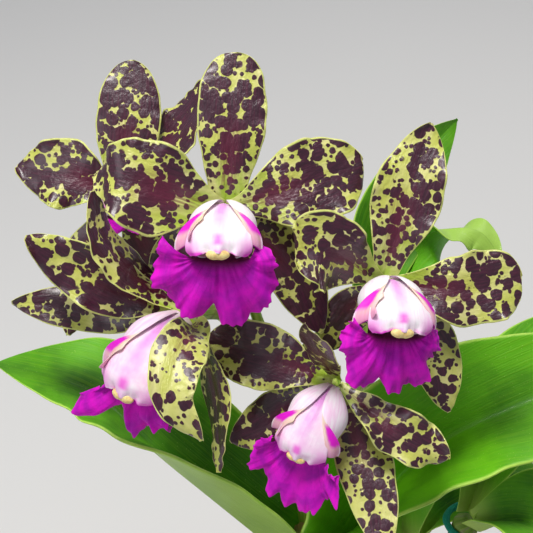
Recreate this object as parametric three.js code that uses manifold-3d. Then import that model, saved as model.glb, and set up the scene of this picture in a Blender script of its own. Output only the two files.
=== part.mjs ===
// Potted cattleya orchid: a clay pot of bark, a creeping rhizome with its canes and
// leathery leaves, and a spray of five spotted blooms with ruffled lips.
// Millimetres, +Z up. The origin is the middle of the pot's flat underside.

import * as THREE from "three";
import { mergeVertices } from "three/addons/utils/BufferGeometryUtils.js";
import ManifoldModule from "manifold-3d";

const wasm = await ManifoldModule();
wasm.setup();

// Driving dimensions: pot and bark

const GAP = 0.3;
const POT = {
  height: 130, footRadius: 50, shoulderRadius: 68, rimRadius: 76, band: 26, wall: 6, floor: 8,
};
const DRAIN = { count: 3, radius: 5, fromCentre: 26 };
const BARK = { level: 116, chips: 14, chipLength: 26, chipThickness: 6, sink: 2.2, seed: 7 };

// Driving dimensions: canes, leaves and stem. A cane runs from its foot to its top,
// and its leaves spring from that top.

const CANES = {
  lead: { foot: [4, -24, 112], top: [10, -30, 274], girth: [5.2, 8.6, 6.0] },
  back: { foot: [24, 14, 112], top: [36, 52, 318], girth: [5.0, 8.0, 5.0] },
  right: { foot: [44, -20, 112], top: [74, -14, 284], girth: [5.0, 8.2, 5.2] },
  short: { foot: [50, 10, 112], top: [56, 2, 252], girth: [5.0, 8.4, 5.2] },
  old: { foot: [0, 26, 112], top: [-6, 36, 196], girth: [5.4, 9.2, 5.0] },
};
const RHIZOME = {
  route: [[-14, 36], [8, 30], [30, 22], [42, 10], [40, -8], [34, -22], [14, -30], [-10, -28]],
  radius: 4, roots: 5, rootRadius: 1.8,
};
const CANE_RINGS = 3;
const LEAF_THICKNESS = 1.7;
const LEAF = {
  foot: 0.34, claw: 0.45, shoulder: 0.42, power: 1.9, round: 0.85,
  cup: 0.12, groove: 1.2, fold: [60, 34, 8, 8, 8], waves: 1.5, rows: 7,
};
const LEAVES = {
  lead_left: {
    path: [[6, -31, 276], [-8, -28, 291], [-44, -17, 323], [-73, -2, 343.5], [-107, -1, 356]],
    face: [[0.4, 0.1, 1], [0, 0.1, 1]], width: 58, wave: 1.2, rows: 10,
    shoulder: 0.6, power: 1.6, round: 0.8, fold: [62, 62, 56, 50, 42, 29, 13, 2, 0],
  },
  lead_right: {
    path: [[14, -31, 276], [26, -28, 290], [54, -12, 319], [94, -2, 339], [146, 7, 356]],
    face: [[-0.3, -0.3, 0.95], [0, -0.5, 0.85]], width: 72, wave: 1.0, rows: 10,
    fold: [80, 80, 78, 60, 46, 34, 17, 10, 6],
  },
  back_up: {
    path: [[34, 52, 318], [37, 62, 345], [45, 74, 369], [57, 86, 388], [72, 96, 402]],
    face: [[0.2, -1, 0.4], [0.2, -1, 0.5]], width: 33, wave: 0.8,
  },
  back_right: {
    path: [[40.5, 51, 317], [45, 62, 342], [56, 66, 362], [70, 66, 367], [81, 64, 367], [89, 57, 360]],
    face: [[-0.2, -1, 0.6], [0, -1, 0.6]], width: 26, wave: 0.8, roll: [0, 0, 20, 90, 150, 170],
  },
  right_up: {
    path: [[74.5, -9.5, 283], [84, 4, 306], [96, 22, 320], [112, 40, 328], [130, 54, 330]],
    face: [[-0.2, -0.6, 0.8], [0, -0.3, 1]], width: 44, wave: 1.0,
  },
  right_front: {
    path: [[77, -18.5, 283], [88, -26, 298], [104, -36, 303], [124, -48, 298], [144, -58, 284]],
    face: [[-0.4, 0.2, 1], [0.1, -0.1, 1]], width: 44, wave: 1.0,
  },
  short_left: {
    path: [[52.5, 2, 251], [50, 6, 276], [52, 16, 296], [54, 34, 308], [52, 54, 300]],
    face: [[0.2, -1, 0.3], [0, -0.4, 1]], width: 38, wave: 0.8,
  },
  short_right: {
    path: [[60, 3, 251], [72, 8, 266], [90, 10, 272], [112, 8, 266], [134, 2, 250]],
    face: [[-0.5, -0.2, 1], [0, 0, 1]], width: 42, wave: 1.0,
  },
};

// Driving dimensions: the spray. It leans forward and looks at a viewer who stands 38
// degrees above the horizon, so its places are given along right, up and out, from the
// middle of the spray, with "out" pointing at that viewer.

const SPRAY = { centre: [-6, -2, 402], lean: 52 };
const STEM_RADIUS = 2.9;
const PEDICEL_RADIUS = 2.0;
const OVARY = { radius: 2.9, length: 13 };
const PEDUNCLE = [[15, -118, -55], [14, -92, -51], [8, -58, -41], [3, -33, -34]];
const PEDICELS = {
  a: [[3, -33, -34], [-3, -20, -27], [-9, -4, -12]],
  b: [[5, -46, -37], [14, -31, -30], [30, -15, -14]],
  c: [[3, -36, -35], [-6, -22, -26], [-17, -16, -12]],
  d: [[8, -58, -41], [15, -52, -28], [21, -44, -10]],
  e: [[2, -30, -35], [-22, -16, -58], [-46, 10, -56]],
};
const SHEATH = { length: 20, width: 12, thickness: 1.2 };
const TIE = { centre: [83, -13, 279], semi: [17, 12], radius: 1.4, tilt: 6 };

// Driving dimensions: blooms. Every path starts near the bloom's heart and is given from
// it along right, up and out. Roll turns a blade about its own length, from foot to tip.

const TEPAL_THICKNESS = 1.0;
const TIP_HALF = 0.8;
const SEPAL = {
  foot: 0.36, claw: 0.5, shoulder: 0.5, power: 1.8, round: 0.7,
  cup: -0.1, groove: 0.5, wave: 0.7, waves: 2, rows: 5,
};
const ROUND_SEPAL = { ...SEPAL, foot: 0.5, claw: 0.55, shoulder: 0.52, power: 2.4, round: 0.5 };
const PETAL = {
  foot: 0.2, claw: 0.55, shoulder: 0.6, power: 2.3, round: 0.52,
  cup: 0.05, groove: 0.7, wave: 1.6, waves: 2.6, rows: 6,
};
const BLUNT_PETAL = { ...PETAL, shoulder: 0.66, power: 3, round: 0.45 };
const POINTED_PETAL = { ...PETAL, shoulder: 0.55, power: 1.7, round: 0.7 };
const HEART_RADIUS = 4.6;
const BLOOMS = {
  a: {
    heart: [-13.5, 18.8, 14],
    lip: {
      out: [-0.05, -0.36, 0.93], top: [0, 1, 0.3],
      reach: [19, 21.5, 23.5, 22, 22, 23.5, 21.5, 17.5, 13], lift: [8, 4],
    },
    tepals: {
      dorsal: {
        like: ROUND_SEPAL, width: 23, shoulder: 0.56, power: 3.2, round: 0.42,
        path: [[0, 1, -0.9], [1.8, 26, 5], [3, 52, 4]],
      },
      petal_right: {
        like: PETAL, width: 29,
        path: [[1, 0.5, -0.6], [24, 7.5, 3], [46, 16.5, -5]],
      },
      petal_left: {
        like: PETAL, claw: 0.38, shoulder: 0.42, power: 1.7, round: 0.7, width: 31,
        path: [[-1, 0.5, -0.6], [-19.3, 5.5, 9], [-34.6, 10, 11], [-43.2, 11.5, 2]],
      },
      sepal_right: {
        like: SEPAL, width: 21,
        path: [[1, -1, -1.2], [20, -17, -9], [33, -42, -17]],
      },
      sepal_left: {
        like: SEPAL, width: 18,
        path: [[-1, -1, -1.2], [-16, -14, -11], [-28, -30, -23]],
      },
    },
  },
  b: {
    heart: [39.4, -5.9, 8],
    lip: {
      out: [0.12, -0.36, 0.93], top: [0.1, 1, 0.3],
      reach: [16, 17.5, 19.5, 22, 20, 21, 17, 14.5, 12], lift: [8, 4],
    },
    tepals: {
      dorsal: {
        like: POINTED_PETAL, width: 24.5, foot: 0.34,
        path: [[0, 1, -0.9], [7, 27, 5], [16, 54, 4]],
      },
      petal_right: {
        like: BLUNT_PETAL, width: 25,
        path: [[1, 0.5, -0.6], [25.5, -2, 3], [47, 2, 0]],
      },
      petal_left: {
        like: PETAL, width: 27,
        path: [[-1, 0.8, -0.5], [-12, 8, 10], [-22, 11, 18], [-30, 9, 15]],
      },
      sepal_left: {
        like: SEPAL, width: 16,
        path: [[-1, -1, -1.2], [-11, -10, -9], [-19, -24, -15]],
      },
      sepal_right: {
        like: SEPAL, width: 19.5,
        path: [[1, -1, -1.2], [17, -21, -9], [24.5, -45, -13]],
      },
    },
  },
  c: {
    heart: [-26.7, -15.8, 6],
    lip: {
      out: [-0.56, -0.64, 0.52], top: [-0.09, 0.67, 0.73], size: 1.14,
      reach: [6, 10, 24, 12, 18, 12, 17, 10, 6], lift: [45, 45, 32, 30, 20],
    },
    tepals: {
      dorsal: {
        like: SEPAL, width: 19, roll: [50, 60],
        path: [[-0.5, 1.6, -0.8], [-14, 10, 0], [-27, 24, 7], [-31, 41, 10]],
      },
      petal_left: {
        like: POINTED_PETAL, width: 22, wave: 2.4,
        path: [[-1, 1, -1.5], [-26, 9, -1], [-54, 25.5, 8]],
      },
      sepal_left: {
        like: SEPAL, width: 18, wave: 1.8,
        path: [[-1, -0.5, -2.1], [-31, 1, -13], [-63, 3, -14]],
      },
      petal_right: {
        like: PETAL, claw: 0.55, shoulder: 0.56, power: 1.5, round: 0.7, width: 18.5,
        path: [
          [1.2, -2, 0.8], [3.4, -3.4, 11.2], [1.4, -7, 18.8], [-2.2, -15, 25], [-2.5, -27, 29], [6, -40, 25],
        ],
      },
      sepal_right: {
        like: SEPAL, width: 16, roll: [50, 60],
        path: [[1, -1, -1.2], [9, -27, 0], [10.5, -54, 2]],
      },
    },
  },
  d: {
    heart: [23.4, -39.2, 10],
    lip: {
      out: [-0.49, -0.76, 0.46], top: [-0.06, 0.55, 0.85], size: 0.9,
      reach: [14, 17, 22, 23, 30, 24, 22, 17, 12], lift: [45, 45],
    },
    tepals: {
      dorsal: {
        like: SEPAL, width: 14, face: [-0.5, -0.4, 0.6],
        path: [[0, 1, -0.9], [-6, 10, 12], [-11, 21, 30]],
      },
      petal_left: {
        like: PETAL, width: 23,
        path: [[-1, 0.5, -0.9], [-22, 8, -2], [-44.3, 13.5, -9]],
      },
      sepal_left: {
        like: SEPAL, width: 20,
        path: [[-1, -1, -1.5], [-19, -13, -10], [-36, -22, -14]],
      },
      petal_right: {
        like: PETAL, width: 17, roll: [-30, 10], wave: 2.6,
        path: [[1, -0.5, -0.6], [18, -14, 6], [37, -25, 5]],
      },
      sepal_right: {
        like: SEPAL, width: 20,
        path: [[0.8, -1.2, -1.5], [7, -17, -5], [12, -36, 0], [16.5, -58, 6]],
      },
    },
  },
  e: {
    heart: [-53.7, 25.4, -32],
    lip: {
      out: [0.2, -0.05, 0.97], top: [0, 1, 0.1], size: 0.86,
      reach: [14, 15, 17, 14, 19, 20, 20], lift: [66, 62, 50],
    },
    tepals: {
      dorsal: {
        like: ROUND_SEPAL, width: 24.5,
        path: [[0, 1, -0.9], [2.5, 25, 4], [3.6, 51, 2]],
      },
      petal_left: {
        like: POINTED_PETAL, width: 27,
        path: [[-1, 0.5, -0.6], [-19.3, 8.5, 1], [-40, 12.5, -5]],
      },
      petal_right: {
        like: PETAL, width: 24, roll: [-40, -50],
        path: [[1, 0.5, -0.6], [18, 21, 3], [33.5, 42, 4]],
      },
      sepal_left: {
        like: SEPAL, width: 20,
        path: [[-1, -1, -1.2], [-15, -24, -10], [-22.5, -52, -16]],
      },
      sepal_right: {
        like: SEPAL, width: 19,
        path: [[1, -1, -1.2], [9, -23, -12], [12.5, -42, -22]],
      },
    },
  },
};

// Driving dimensions: the lip, along right, top and out of its own bloom

const COLUMN = {
  path: [[0, 2, 2], [0, 5.6, 11], [0, 5.4, 21], [0, 1.6, 30], [0, -3, 33]],
  width: 18.5, foot: 0.3, thickness: 1.2, ridge: 2.6, arch: 0.3,
};
const ANTHER = { place: [0, -3.8, 32.2], size: [3.8, 1.8, 1.8] };
const TUBE = {
  start: 3.0, length: 24.5, back: 3.8, wide: 11, deep: 8.6, drop: 2.0,
  wrap: [175, 92], fold: 0.75, lapel: 5, lapelTurn: 16, thickness: 0.9,
};
const APRON = {
  throat: [0, -7.5, 24.8], root: [9.5, 1.2], inner: 78, spread: 112,
  thickness: 1.0, ruffle: 1.7, ruffles: 9.6,
};

const COLOURS = {
  clay: 0xb5603c, bark: 0x5b4030, rhizome: 0x7d7a45, cane: 0x8fa05a, leaf: 0x3f8a1c, stem: 0x9fb83c,
  sheath: 0xb9b774, tie: 0x12a08c, tepal: 0x5c2b3c, column: 0xf7e6f4, lobe: 0xf6ecf2, apron: 0xc400b8,
};
const GLOSS = { clay: 0.85, bark: 0.95, leaf: 0.4, tepal: 0.35, apron: 0.6 };
const PLAIN_GLOSS = 0.55;

// Small helpers for numbers and places

const TAU = Math.PI * 2;
const GOLDEN_ANGLE = Math.PI * (3 - Math.sqrt(5));
const radians = (degrees) => degrees * Math.PI / 180;
const vector = (list) => new THREE.Vector3(...list);
const mix = (a, b, t) => a + (b - a) * t;
const smooth = (t) => {
  const held = Math.min(Math.max(t, 0), 1);
  return held * held * (3 - 2 * held);
};

// Value of an evenly spaced list of numbers at t from 0 to 1.
function along(list, t) {
  const place = Math.min(Math.max(t, 0), 1) * (list.length - 1);
  const below = Math.min(Math.floor(place), list.length - 2);
  return mix(list[below], list[below + 1], smooth(place - below));
}

// Repeatable draws between 0 and 1.
function drawer(seed) {
  let state = seed;
  return () => {
    state = (state * 16807) % 2147483647;
    return state / 2147483647;
  };
}

const sprayFrame = new THREE.Matrix4().makeRotationX(radians(SPRAY.lean)).setPosition(...SPRAY.centre);
const inSpray = (list) => vector(list).applyMatrix4(sprayFrame);
const sprayDirection = (list) => vector(list).transformDirection(sprayFrame);

// Solids: merged, closed meshes that can be joined and cut

function toSolid(geometry) {
  const bare = geometry.clone();
  bare.deleteAttribute("normal");
  bare.deleteAttribute("uv");
  const merged = mergeVertices(bare, 1e-4);
  const mesh = new wasm.Mesh({
    numProp: 3,
    vertProperties: new Float32Array(merged.attributes.position.array),
    triVerts: new Uint32Array(merged.index.array),
  });
  return new wasm.Manifold(mesh);
}

function toGeometry(solid) {
  const mesh = solid.getMesh();
  const geometry = new THREE.BufferGeometry();
  geometry.setAttribute("position", new THREE.BufferAttribute(new Float32Array(mesh.vertProperties), 3));
  geometry.setIndex(new THREE.BufferAttribute(new Uint32Array(mesh.triVerts), 1));
  return geometry;
}

// The largest body of a solid: scraps that a cut leaves are dropped, sealed voids are filled.
const mainBody = (solid) => solid.decompose().reduce((a, b) => (b.volume() > a.volume() ? b : a));

const join = (geometries) => toGeometry(mainBody(
  geometries.map(toSolid).reduce((whole, next) => whole.add(next))));
const cut = (geometry, cutters) => toGeometry(mainBody(
  cutters.map(toSolid).reduce((whole, next) => whole.subtract(next), toSolid(geometry))));

// The same closed mesh with every face pushed outwards, for cutting a clear seat.
function swell(geometry, amount = GAP) {
  const bare = geometry.clone();
  bare.deleteAttribute("normal");
  bare.deleteAttribute("uv");
  const merged = mergeVertices(bare, 1e-4);
  merged.computeVertexNormals();
  const place = merged.attributes.position;
  const normal = merged.attributes.normal;
  for (let i = 0; i < place.count; i += 1) {
    place.setXYZ(i,
      place.getX(i) + normal.getX(i) * amount,
      place.getY(i) + normal.getY(i) * amount,
      place.getZ(i) + normal.getZ(i) * amount);
  }
  return merged;
}

// A closed thin body over surface(u, v), u from 0 to 1 and v from -1 to 1. Both faces are
// split along the same diagonals, and thickness may change over the surface.
function sheet(surface, rows, columns, thickness) {
  const step = 1e-3;
  const thick = typeof thickness === "function" ? thickness : () => thickness;
  const front = [];
  const back = [];
  for (let i = 0; i <= rows; i += 1) {
    for (let j = 0; j <= columns; j += 1) {
      const u = i / rows;
      const v = 2 * j / columns - 1;
      const point = surface(u, v);
      const across = surface(u, Math.min(v + step, 1)).sub(surface(u, Math.max(v - step, -1)));
      const onward = surface(Math.min(u + step, 1), v).sub(surface(Math.max(u - step, 0), v));
      const normal = across.cross(onward).normalize();
      const half = thick(u, v) / 2;
      front.push(point.clone().addScaledVector(normal, half));
      back.push(point.clone().addScaledVector(normal, -half));
    }
  }
  const wide = columns + 1;
  const behind = front.length;
  const faces = [];
  for (let i = 0; i < rows; i += 1) {
    for (let j = 0; j < columns; j += 1) {
      const a = i * wide + j;
      const b = a + 1;
      const c = a + wide + 1;
      const d = a + wide;
      faces.push(a, b, c, a, c, d);
      faces.push(behind + a, behind + c, behind + b, behind + a, behind + d, behind + c);
    }
  }
  const rim = [];
  for (let j = 0; j < columns; j += 1) rim.push(j);
  for (let i = 0; i < rows; i += 1) rim.push(i * wide + columns);
  for (let j = columns; j > 0; j -= 1) rim.push(rows * wide + j);
  for (let i = rows; i > 0; i -= 1) rim.push(i * wide);
  rim.forEach((a, k) => {
    const b = rim[(k + 1) % rim.length];
    faces.push(a, behind + a, b, b, behind + a, behind + b);
  });
  const geometry = new THREE.BufferGeometry().setFromPoints([...front, ...back]);
  geometry.setIndex(faces);
  return geometry;
}

// Surface of a petal, sepal or leaf that follows a curve. Its face looks along "face",
// and its half-width grows from a narrow foot and closes in a rounded tip.
function bladeSurface(points, face, shape) {
  const curve = new THREE.CatmullRomCurve3(points, false, "catmullrom", 0.5);
  const { width, foot, claw, shoulder, power, round, cup, groove, wave, waves } = shape;
  const { roll = [0, 0], fold = [0, 0] } = shape;
  return (u, v) => {
    const t = 1 - (1 - u) ** 1.3;
    const tangent = curve.getTangent(t);
    const side = tangent.clone().cross(face[0].clone().lerp(face[1], t)).normalize();
    const turn = radians(along(roll, t));
    side.applyAxisAngle(tangent, turn);
    const normal = side.clone().cross(tangent);
    const grown = foot + (1 - foot) * smooth(t / claw);
    const past = Math.max((t - shoulder) / (1 - shoulder), 0);
    const half = Math.max(width / 2 * grown * (1 - past ** power) ** round, TIP_HALF);
    const edge = Math.abs(v);
    const ripple = wave * edge ** 2.2 * smooth(t * 2.5) * Math.sin(TAU * waves * t + 1.9 * Math.sign(v));
    const rise = cup * half * v * v - groove * (1 - edge) ** 3 * smooth((1 - t) * 4) + ripple;
    const crease = radians(along(fold, t));
    return curve.getPoint(t).addScaledVector(side, v * half * Math.cos(crease))
      .addScaledVector(normal, rise + edge * half * Math.sin(crease));
  };
}

// Surface of revolution along a straight cane from its foot to its top.
function alongLine(profile, start, end, sides) {
  const geometry = new THREE.LatheGeometry(profile, sides);
  const axis = end.clone().sub(start).normalize();
  geometry.applyQuaternion(new THREE.Quaternion().setFromUnitVectors(new THREE.Vector3(0, 1, 0), axis));
  geometry.translate(start.x, start.y, start.z);
  return geometry;
}

// Tube of a round section along a smooth curve through the points.
function tube(points, radius, steps, sides = 8) {
  const section = new THREE.Shape();
  for (let k = 0; k < sides; k += 1) {
    const angle = TAU * k / sides;
    const x = radius * Math.cos(angle);
    const y = radius * Math.sin(angle);
    if (k === 0) section.moveTo(x, y);
    else section.lineTo(x, y);
  }
  const closed = points.length > 12;
  const path = new THREE.CatmullRomCurve3(points, closed, "catmullrom", 0.5);
  return new THREE.ExtrudeGeometry(section, { steps, extrudePath: path, bevelEnabled: false });
}

// Pot: turned clay with a rim band and three drainage holes

function makePot() {
  const { height, footRadius, shoulderRadius, rimRadius, band, wall, floor } = POT;
  const profile = [
    [0, 0], [footRadius, 0], [footRadius + 1.5, 1.5], [shoulderRadius, height - band],
    [rimRadius - 1, height - band + 1], [rimRadius, height - 2], [rimRadius - 2, height],
    [rimRadius - wall + 1, height], [rimRadius - wall - 1, height - 2],
    [shoulderRadius - wall, height - band], [footRadius - wall, floor], [0, floor],
  ].map(([x, y]) => new THREE.Vector2(x, y));
  const body = new THREE.LatheGeometry(profile, 20).rotateX(Math.PI / 2);
  const holes = [];
  for (let k = 0; k < DRAIN.count; k += 1) {
    const angle = TAU * k / DRAIN.count;
    const hole = new THREE.CylinderGeometry(DRAIN.radius, DRAIN.radius, 3 * floor, 10);
    const x = DRAIN.fromCentre * Math.cos(angle);
    const y = DRAIN.fromCentre * Math.sin(angle);
    holes.push(hole.rotateX(Math.PI / 2).translate(x, y, floor / 2));
  }
  return cut(body, holes);
}

// Bark: the filling of the pot, with chips that stand out of its top

function makeBark(standing) {
  const { footRadius, shoulderRadius, height, band, wall, floor } = POT;
  const { level, chips, chipLength, chipThickness, sink, seed } = BARK;
  const shoulder = height - band;
  const inner = (z) => z <= shoulder
    ? mix(footRadius - wall, shoulderRadius - wall, (z - floor) / (shoulder - floor))
    : shoulderRadius - wall;
  const profile = [
    [0, floor + GAP], [inner(floor) - GAP, floor + GAP], [inner(shoulder) - GAP, shoulder],
    [inner(level) - GAP, level], [0, level],
  ].map(([x, y]) => new THREE.Vector2(x, y));
  const filling = new THREE.LatheGeometry(profile, 20).rotateX(Math.PI / 2);
  const draw = drawer(seed);
  const pieces = [filling];
  const reach = inner(level) - GAP - chipLength / 2 - 1.5;
  for (let k = 0; k < chips; k += 1) {
    const radius = reach * Math.sqrt((k + 0.5) / chips);
    const angle = k * GOLDEN_ANGLE;
    const length = chipLength * mix(0.6, 1, draw());
    const width = length * mix(0.45, 0.8, draw());
    const chip = new THREE.BoxGeometry(length, width, chipThickness * mix(0.6, 1, draw()));
    chip.rotateX(radians(mix(-22, 22, draw())));
    chip.rotateY(radians(mix(-22, 22, draw())));
    chip.rotateZ(TAU * draw());
    chip.translate(radius * Math.cos(angle), radius * Math.sin(angle), level + chipThickness / 2 - sink);
    pieces.push(chip);
  }
  return cut(join(pieces), standing);
}

// Canes: spindle-shaped stems with a raised ring at each joint

function makeCane({ foot, top, girth }) {
  const start = vector(foot);
  const end = vector(top);
  const length = start.distanceTo(end);
  const [base, belly, neck] = girth;
  const radius = (t) => mix(base, belly, smooth(t / 0.6)) - (belly - neck) * smooth((t - 0.6) / 0.4);
  const profile = [new THREE.Vector2(0, 0), new THREE.Vector2(radius(0), 0)];
  for (let k = 1; k <= CANE_RINGS; k += 1) {
    const t = k / (CANE_RINGS + 1);
    const ring = radius(t);
    profile.push(new THREE.Vector2(ring - 0.3, t * length - 1.4));
    profile.push(new THREE.Vector2(ring + 0.7, t * length));
    profile.push(new THREE.Vector2(ring - 0.3, t * length + 1.4));
  }
  profile.push(new THREE.Vector2(radius(1), length - 1.5), new THREE.Vector2(radius(1) * 0.6, length));
  profile.push(new THREE.Vector2(0, length));
  return alongLine(profile, start, end, 7);
}

// Rhizome: the creeping stem that joins the canes, with thick roots that dive into the bark

function makeRhizome() {
  const lift = BARK.level + 4;
  const crawl = RHIZOME.route.map(([x, y]) => vector([x, y, lift]));
  const draw = drawer(BARK.seed + 4);
  const roots = [];
  for (let k = 0; k < RHIZOME.roots; k += 1) {
    const from = crawl[k + 1];
    const angle = TAU * draw();
    const toward = vector([Math.cos(angle), Math.sin(angle), 0]);
    const middle = from.clone().addScaledVector(toward, 9).setZ(lift + 3);
    const tip = from.clone().addScaledVector(toward, 17).setZ(BARK.level - 6);
    roots.push(tube([from, middle, tip], RHIZOME.rootRadius, 3, 5));
  }
  return join([tube(crawl, RHIZOME.radius, 12, 6), ...roots]);
}

// Leaves

function makeLeaf({ path, face, ...own }) {
  const shape = { ...LEAF, ...own };
  const looks = face.map((list) => vector(list).normalize());
  return sheet(bladeSurface(path.map(vector), looks, shape), shape.rows, 4, LEAF_THICKNESS);
}

// Stem: one peduncle that branches into a pedicel with its ovary for each bloom

function makeStem() {
  const parts = [tube(PEDUNCLE.map(inSpray), STEM_RADIUS, 6, 6)];
  for (const [name, points] of Object.entries(PEDICELS)) {
    const bloom = BLOOMS[name];
    const heart = inSpray(bloom.heart);
    const joint = inSpray(points.at(-1));
    const back = joint.clone().sub(heart).normalize();
    const end = heart.clone().addScaledVector(back, HEART_RADIUS);
    const neck = end.clone().addScaledVector(back, OVARY.length);
    parts.push(tube([...points.slice(0, -1).map(inSpray), neck, end], PEDICEL_RADIUS, 5, 5));
    parts.push(tube([neck, neck.clone().lerp(end, 0.5), end], OVARY.radius, 1, 5));
  }
  return join(parts);
}

// Sheath: the folded papery bract from which the stem rises

function makeSheath() {
  const foot = inSpray(PEDUNCLE[0]);
  const axis = inSpray(PEDUNCLE[1]).sub(foot).normalize();
  const right = vector([1, 0, 0]).cross(axis).normalize().negate();
  const front = axis.clone().cross(right).normalize();
  const surface = (u, v) => {
    const height = mix(3, SHEATH.length, u) * (1 - 0.25 * v * v * u);
    const angle = v * radians(mix(165, 120, u));
    const radius = mix(5.2, SHEATH.width / 2, Math.sin(u * Math.PI * 0.8)) * mix(1, 0.7, u * u);
    return foot.clone().addScaledVector(axis, height)
      .addScaledVector(front, radius * Math.sin(angle))
      .addScaledVector(right, -radius * 0.8 * Math.cos(angle));
  };
  return sheet(surface, 4, 8, SHEATH.thickness);
}

// Tie: a soft loop that holds the right-hand cane

function makeTie() {
  const { centre, semi, radius, tilt } = TIE;
  const points = [];
  for (let k = 0; k < 16; k += 1) {
    const angle = TAU * k / 16;
    const x = semi[0] * Math.cos(angle);
    const y = semi[1] * Math.sin(angle);
    points.push(vector([centre[0] + x, centre[1] + y, centre[2] - x * Math.tan(radians(tilt))]));
  }
  return tube(points, radius, 24, 5);
}

// Blooms: five tepals on one heart, the column, the lip's side lobes and its apron

function lipFrame(bloom) {
  const out = sprayDirection(bloom.lip.out);
  const right = sprayDirection(bloom.lip.top).cross(out).normalize();
  const top = out.clone().cross(right).normalize();
  const heart = inSpray(bloom.heart);
  const size = bloom.lip.size ?? 1;
  return (x, y, z) => heart.clone().addScaledVector(right, x * size)
    .addScaledVector(top, y * size).addScaledVector(out, z * size);
}

function makeTepal(bloom, { like, path, face = [0, 0, 1], ...own }) {
  const shape = { ...like, ...own };
  const points = path.map((offset) => inSpray(offset.map((value, axis) => value + bloom.heart[axis])));
  const look = sprayDirection(face);
  return sheet(bladeSurface(points, [look, look], shape), shape.rows, 4, TEPAL_THICKNESS);
}

function makeTepals(bloom, neighbours) {
  const heart = new THREE.IcosahedronGeometry(HEART_RADIUS, 0);
  heart.translate(...inSpray(bloom.heart).toArray());
  const blades = Object.values(bloom.tepals).map((tepal) => makeTepal(bloom, tepal));
  return cut(join([heart, ...blades]), neighbours);
}

function makeColumn(place) {
  const { path, width, foot, thickness, ridge, arch } = COLUMN;
  const curve = new THREE.CatmullRomCurve3(path.map(vector), false, "catmullrom", 0.5);
  const surface = (u, v) => {
    const centre = curve.getPoint(u);
    const half = width / 2 * mix(foot, 1, smooth(u / 0.85)) * (1 - 0.12 * smooth((u - 0.9) / 0.1));
    const scallop = 0.8 * Math.cos(v * 9) * smooth((u - 0.8) / 0.2);
    const y = centre.y - arch * half * v * v * mix(0.6, 1, u);
    return place(v * half, y, centre.z + scallop - 3.2 * v * v * u);
  };
  const cap = new THREE.IcosahedronGeometry(1, 0).scale(...ANTHER.size);
  const corner = cap.attributes.position;
  for (let i = 0; i < corner.count; i += 1) {
    const point = place(corner.getX(i) + ANTHER.place[0], corner.getY(i) + ANTHER.place[1],
      corner.getZ(i) + ANTHER.place[2]);
    corner.setXYZ(i, point.x, point.y, point.z);
  }
  return join([sheet(surface, 4, 6, (u, v) => thickness + ridge * (1 - v * v) * mix(1, 0.3, u)), cap]);
}

function makeLobes(place) {
  const { start, length, back, wide, deep, drop, wrap, fold, lapel, lapelTurn, thickness } = TUBE;
  const surface = (u, v) => {
    const edge = Math.abs(v);
    const open = Math.sin(Math.min(u / 0.5, 1) * Math.PI / 2) - 0.22 * smooth((u - 0.5) / 0.5);
    const turned = smooth((u - 0.5) / 0.5) * smooth((edge - fold) / (1 - fold));
    const reach = mix(wrap[0], wrap[1], u ** 3.5) * Math.min(edge / fold, 1) - lapelTurn * turned;
    const angle = Math.sign(v) * radians(reach);
    const radius = mix(back, wide, open) + lapel * turned;
    const height = mix(back, deep, open) + 0.5 * lapel * turned;
    const end = mix(length - 3, length + 3, smooth(edge * 1.3));
    const y = -drop * u - height * Math.cos(angle);
    return place(radius * Math.sin(angle), y - 2 * turned, mix(start, end, u) - 3 * turned);
  };
  return sheet(surface, 4, 8, thickness);
}

function makeApron(place, { reach, lift }, phase) {
  const { throat, root, spread, thickness, ruffle, ruffles } = APRON;
  const surface = (u, v) => {
    const angle = v * radians(spread);
    const inner = v * radians(APRON.inner);
    const scallop = 1 + 0.05 * Math.sin(9 * angle + phase) * u;
    const far = along(reach, (v + 1) / 2) * scallop;
    const tilt = radians(along(lift, (v + 1) / 2));
    const down = -Math.cos(angle) * Math.cos(tilt);
    const out = Math.sin(tilt) * mix(1, Math.abs(Math.cos(angle)), 0.3);
    const x = mix(root[0] * Math.sin(inner), far * Math.sin(angle), u);
    const y = throat[1] + mix(-root[1] * Math.cos(inner), far * down, u);
    const bulge = 2.4 * Math.sin(Math.PI * u * 0.9) - 2.6 * u * u;
    const wave = ruffle * u * u * Math.sin(ruffles * angle + phase);
    return place(x, y, throat[2] + far * out * u + bulge + wave);
  };
  return sheet(surface, 3, 16, thickness);
}

// Assembly

const model = new THREE.Group();

function add(name, geometry, finish) {
  const material = new THREE.MeshStandardMaterial({
    color: COLOURS[finish], roughness: GLOSS[finish] ?? PLAIN_GLOSS, metalness: 0,
  });
  const mesh = new THREE.Mesh(geometry, material);
  mesh.name = name;
  model.add(mesh);
}

const canes = Object.fromEntries(Object.entries(CANES).map(([name, cane]) => [name, makeCane(cane)]));
const caneSeats = Object.values(canes).map((cane) => swell(cane));
const rhizome = makeRhizome();
const stem = makeStem();
const sheath = makeSheath();

add("pot", makePot(), "clay");
add("bark", makeBark([...caneSeats, swell(rhizome, 1.5 * GAP)]), "bark");
add("rhizome_and_roots", cut(rhizome, caneSeats), "rhizome");
for (const [name, cane] of Object.entries(canes)) add(`cane_${name}`, cane, "cane");
add("flower_sheath", cut(sheath, [swell(canes.lead), swell(stem)]), "sheath");

const leafSeats = [...caneSeats, swell(sheath), swell(stem)];
const placed = [];
for (const [name, leaf] of Object.entries(LEAVES)) {
  const blade = cut(makeLeaf(leaf), [...leafSeats, ...placed]);
  placed.push(swell(blade, 2 * GAP));
  add(`leaf_${name}`, blade, "leaf");
}
add("cane_tie", makeTie(), "tie");

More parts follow.
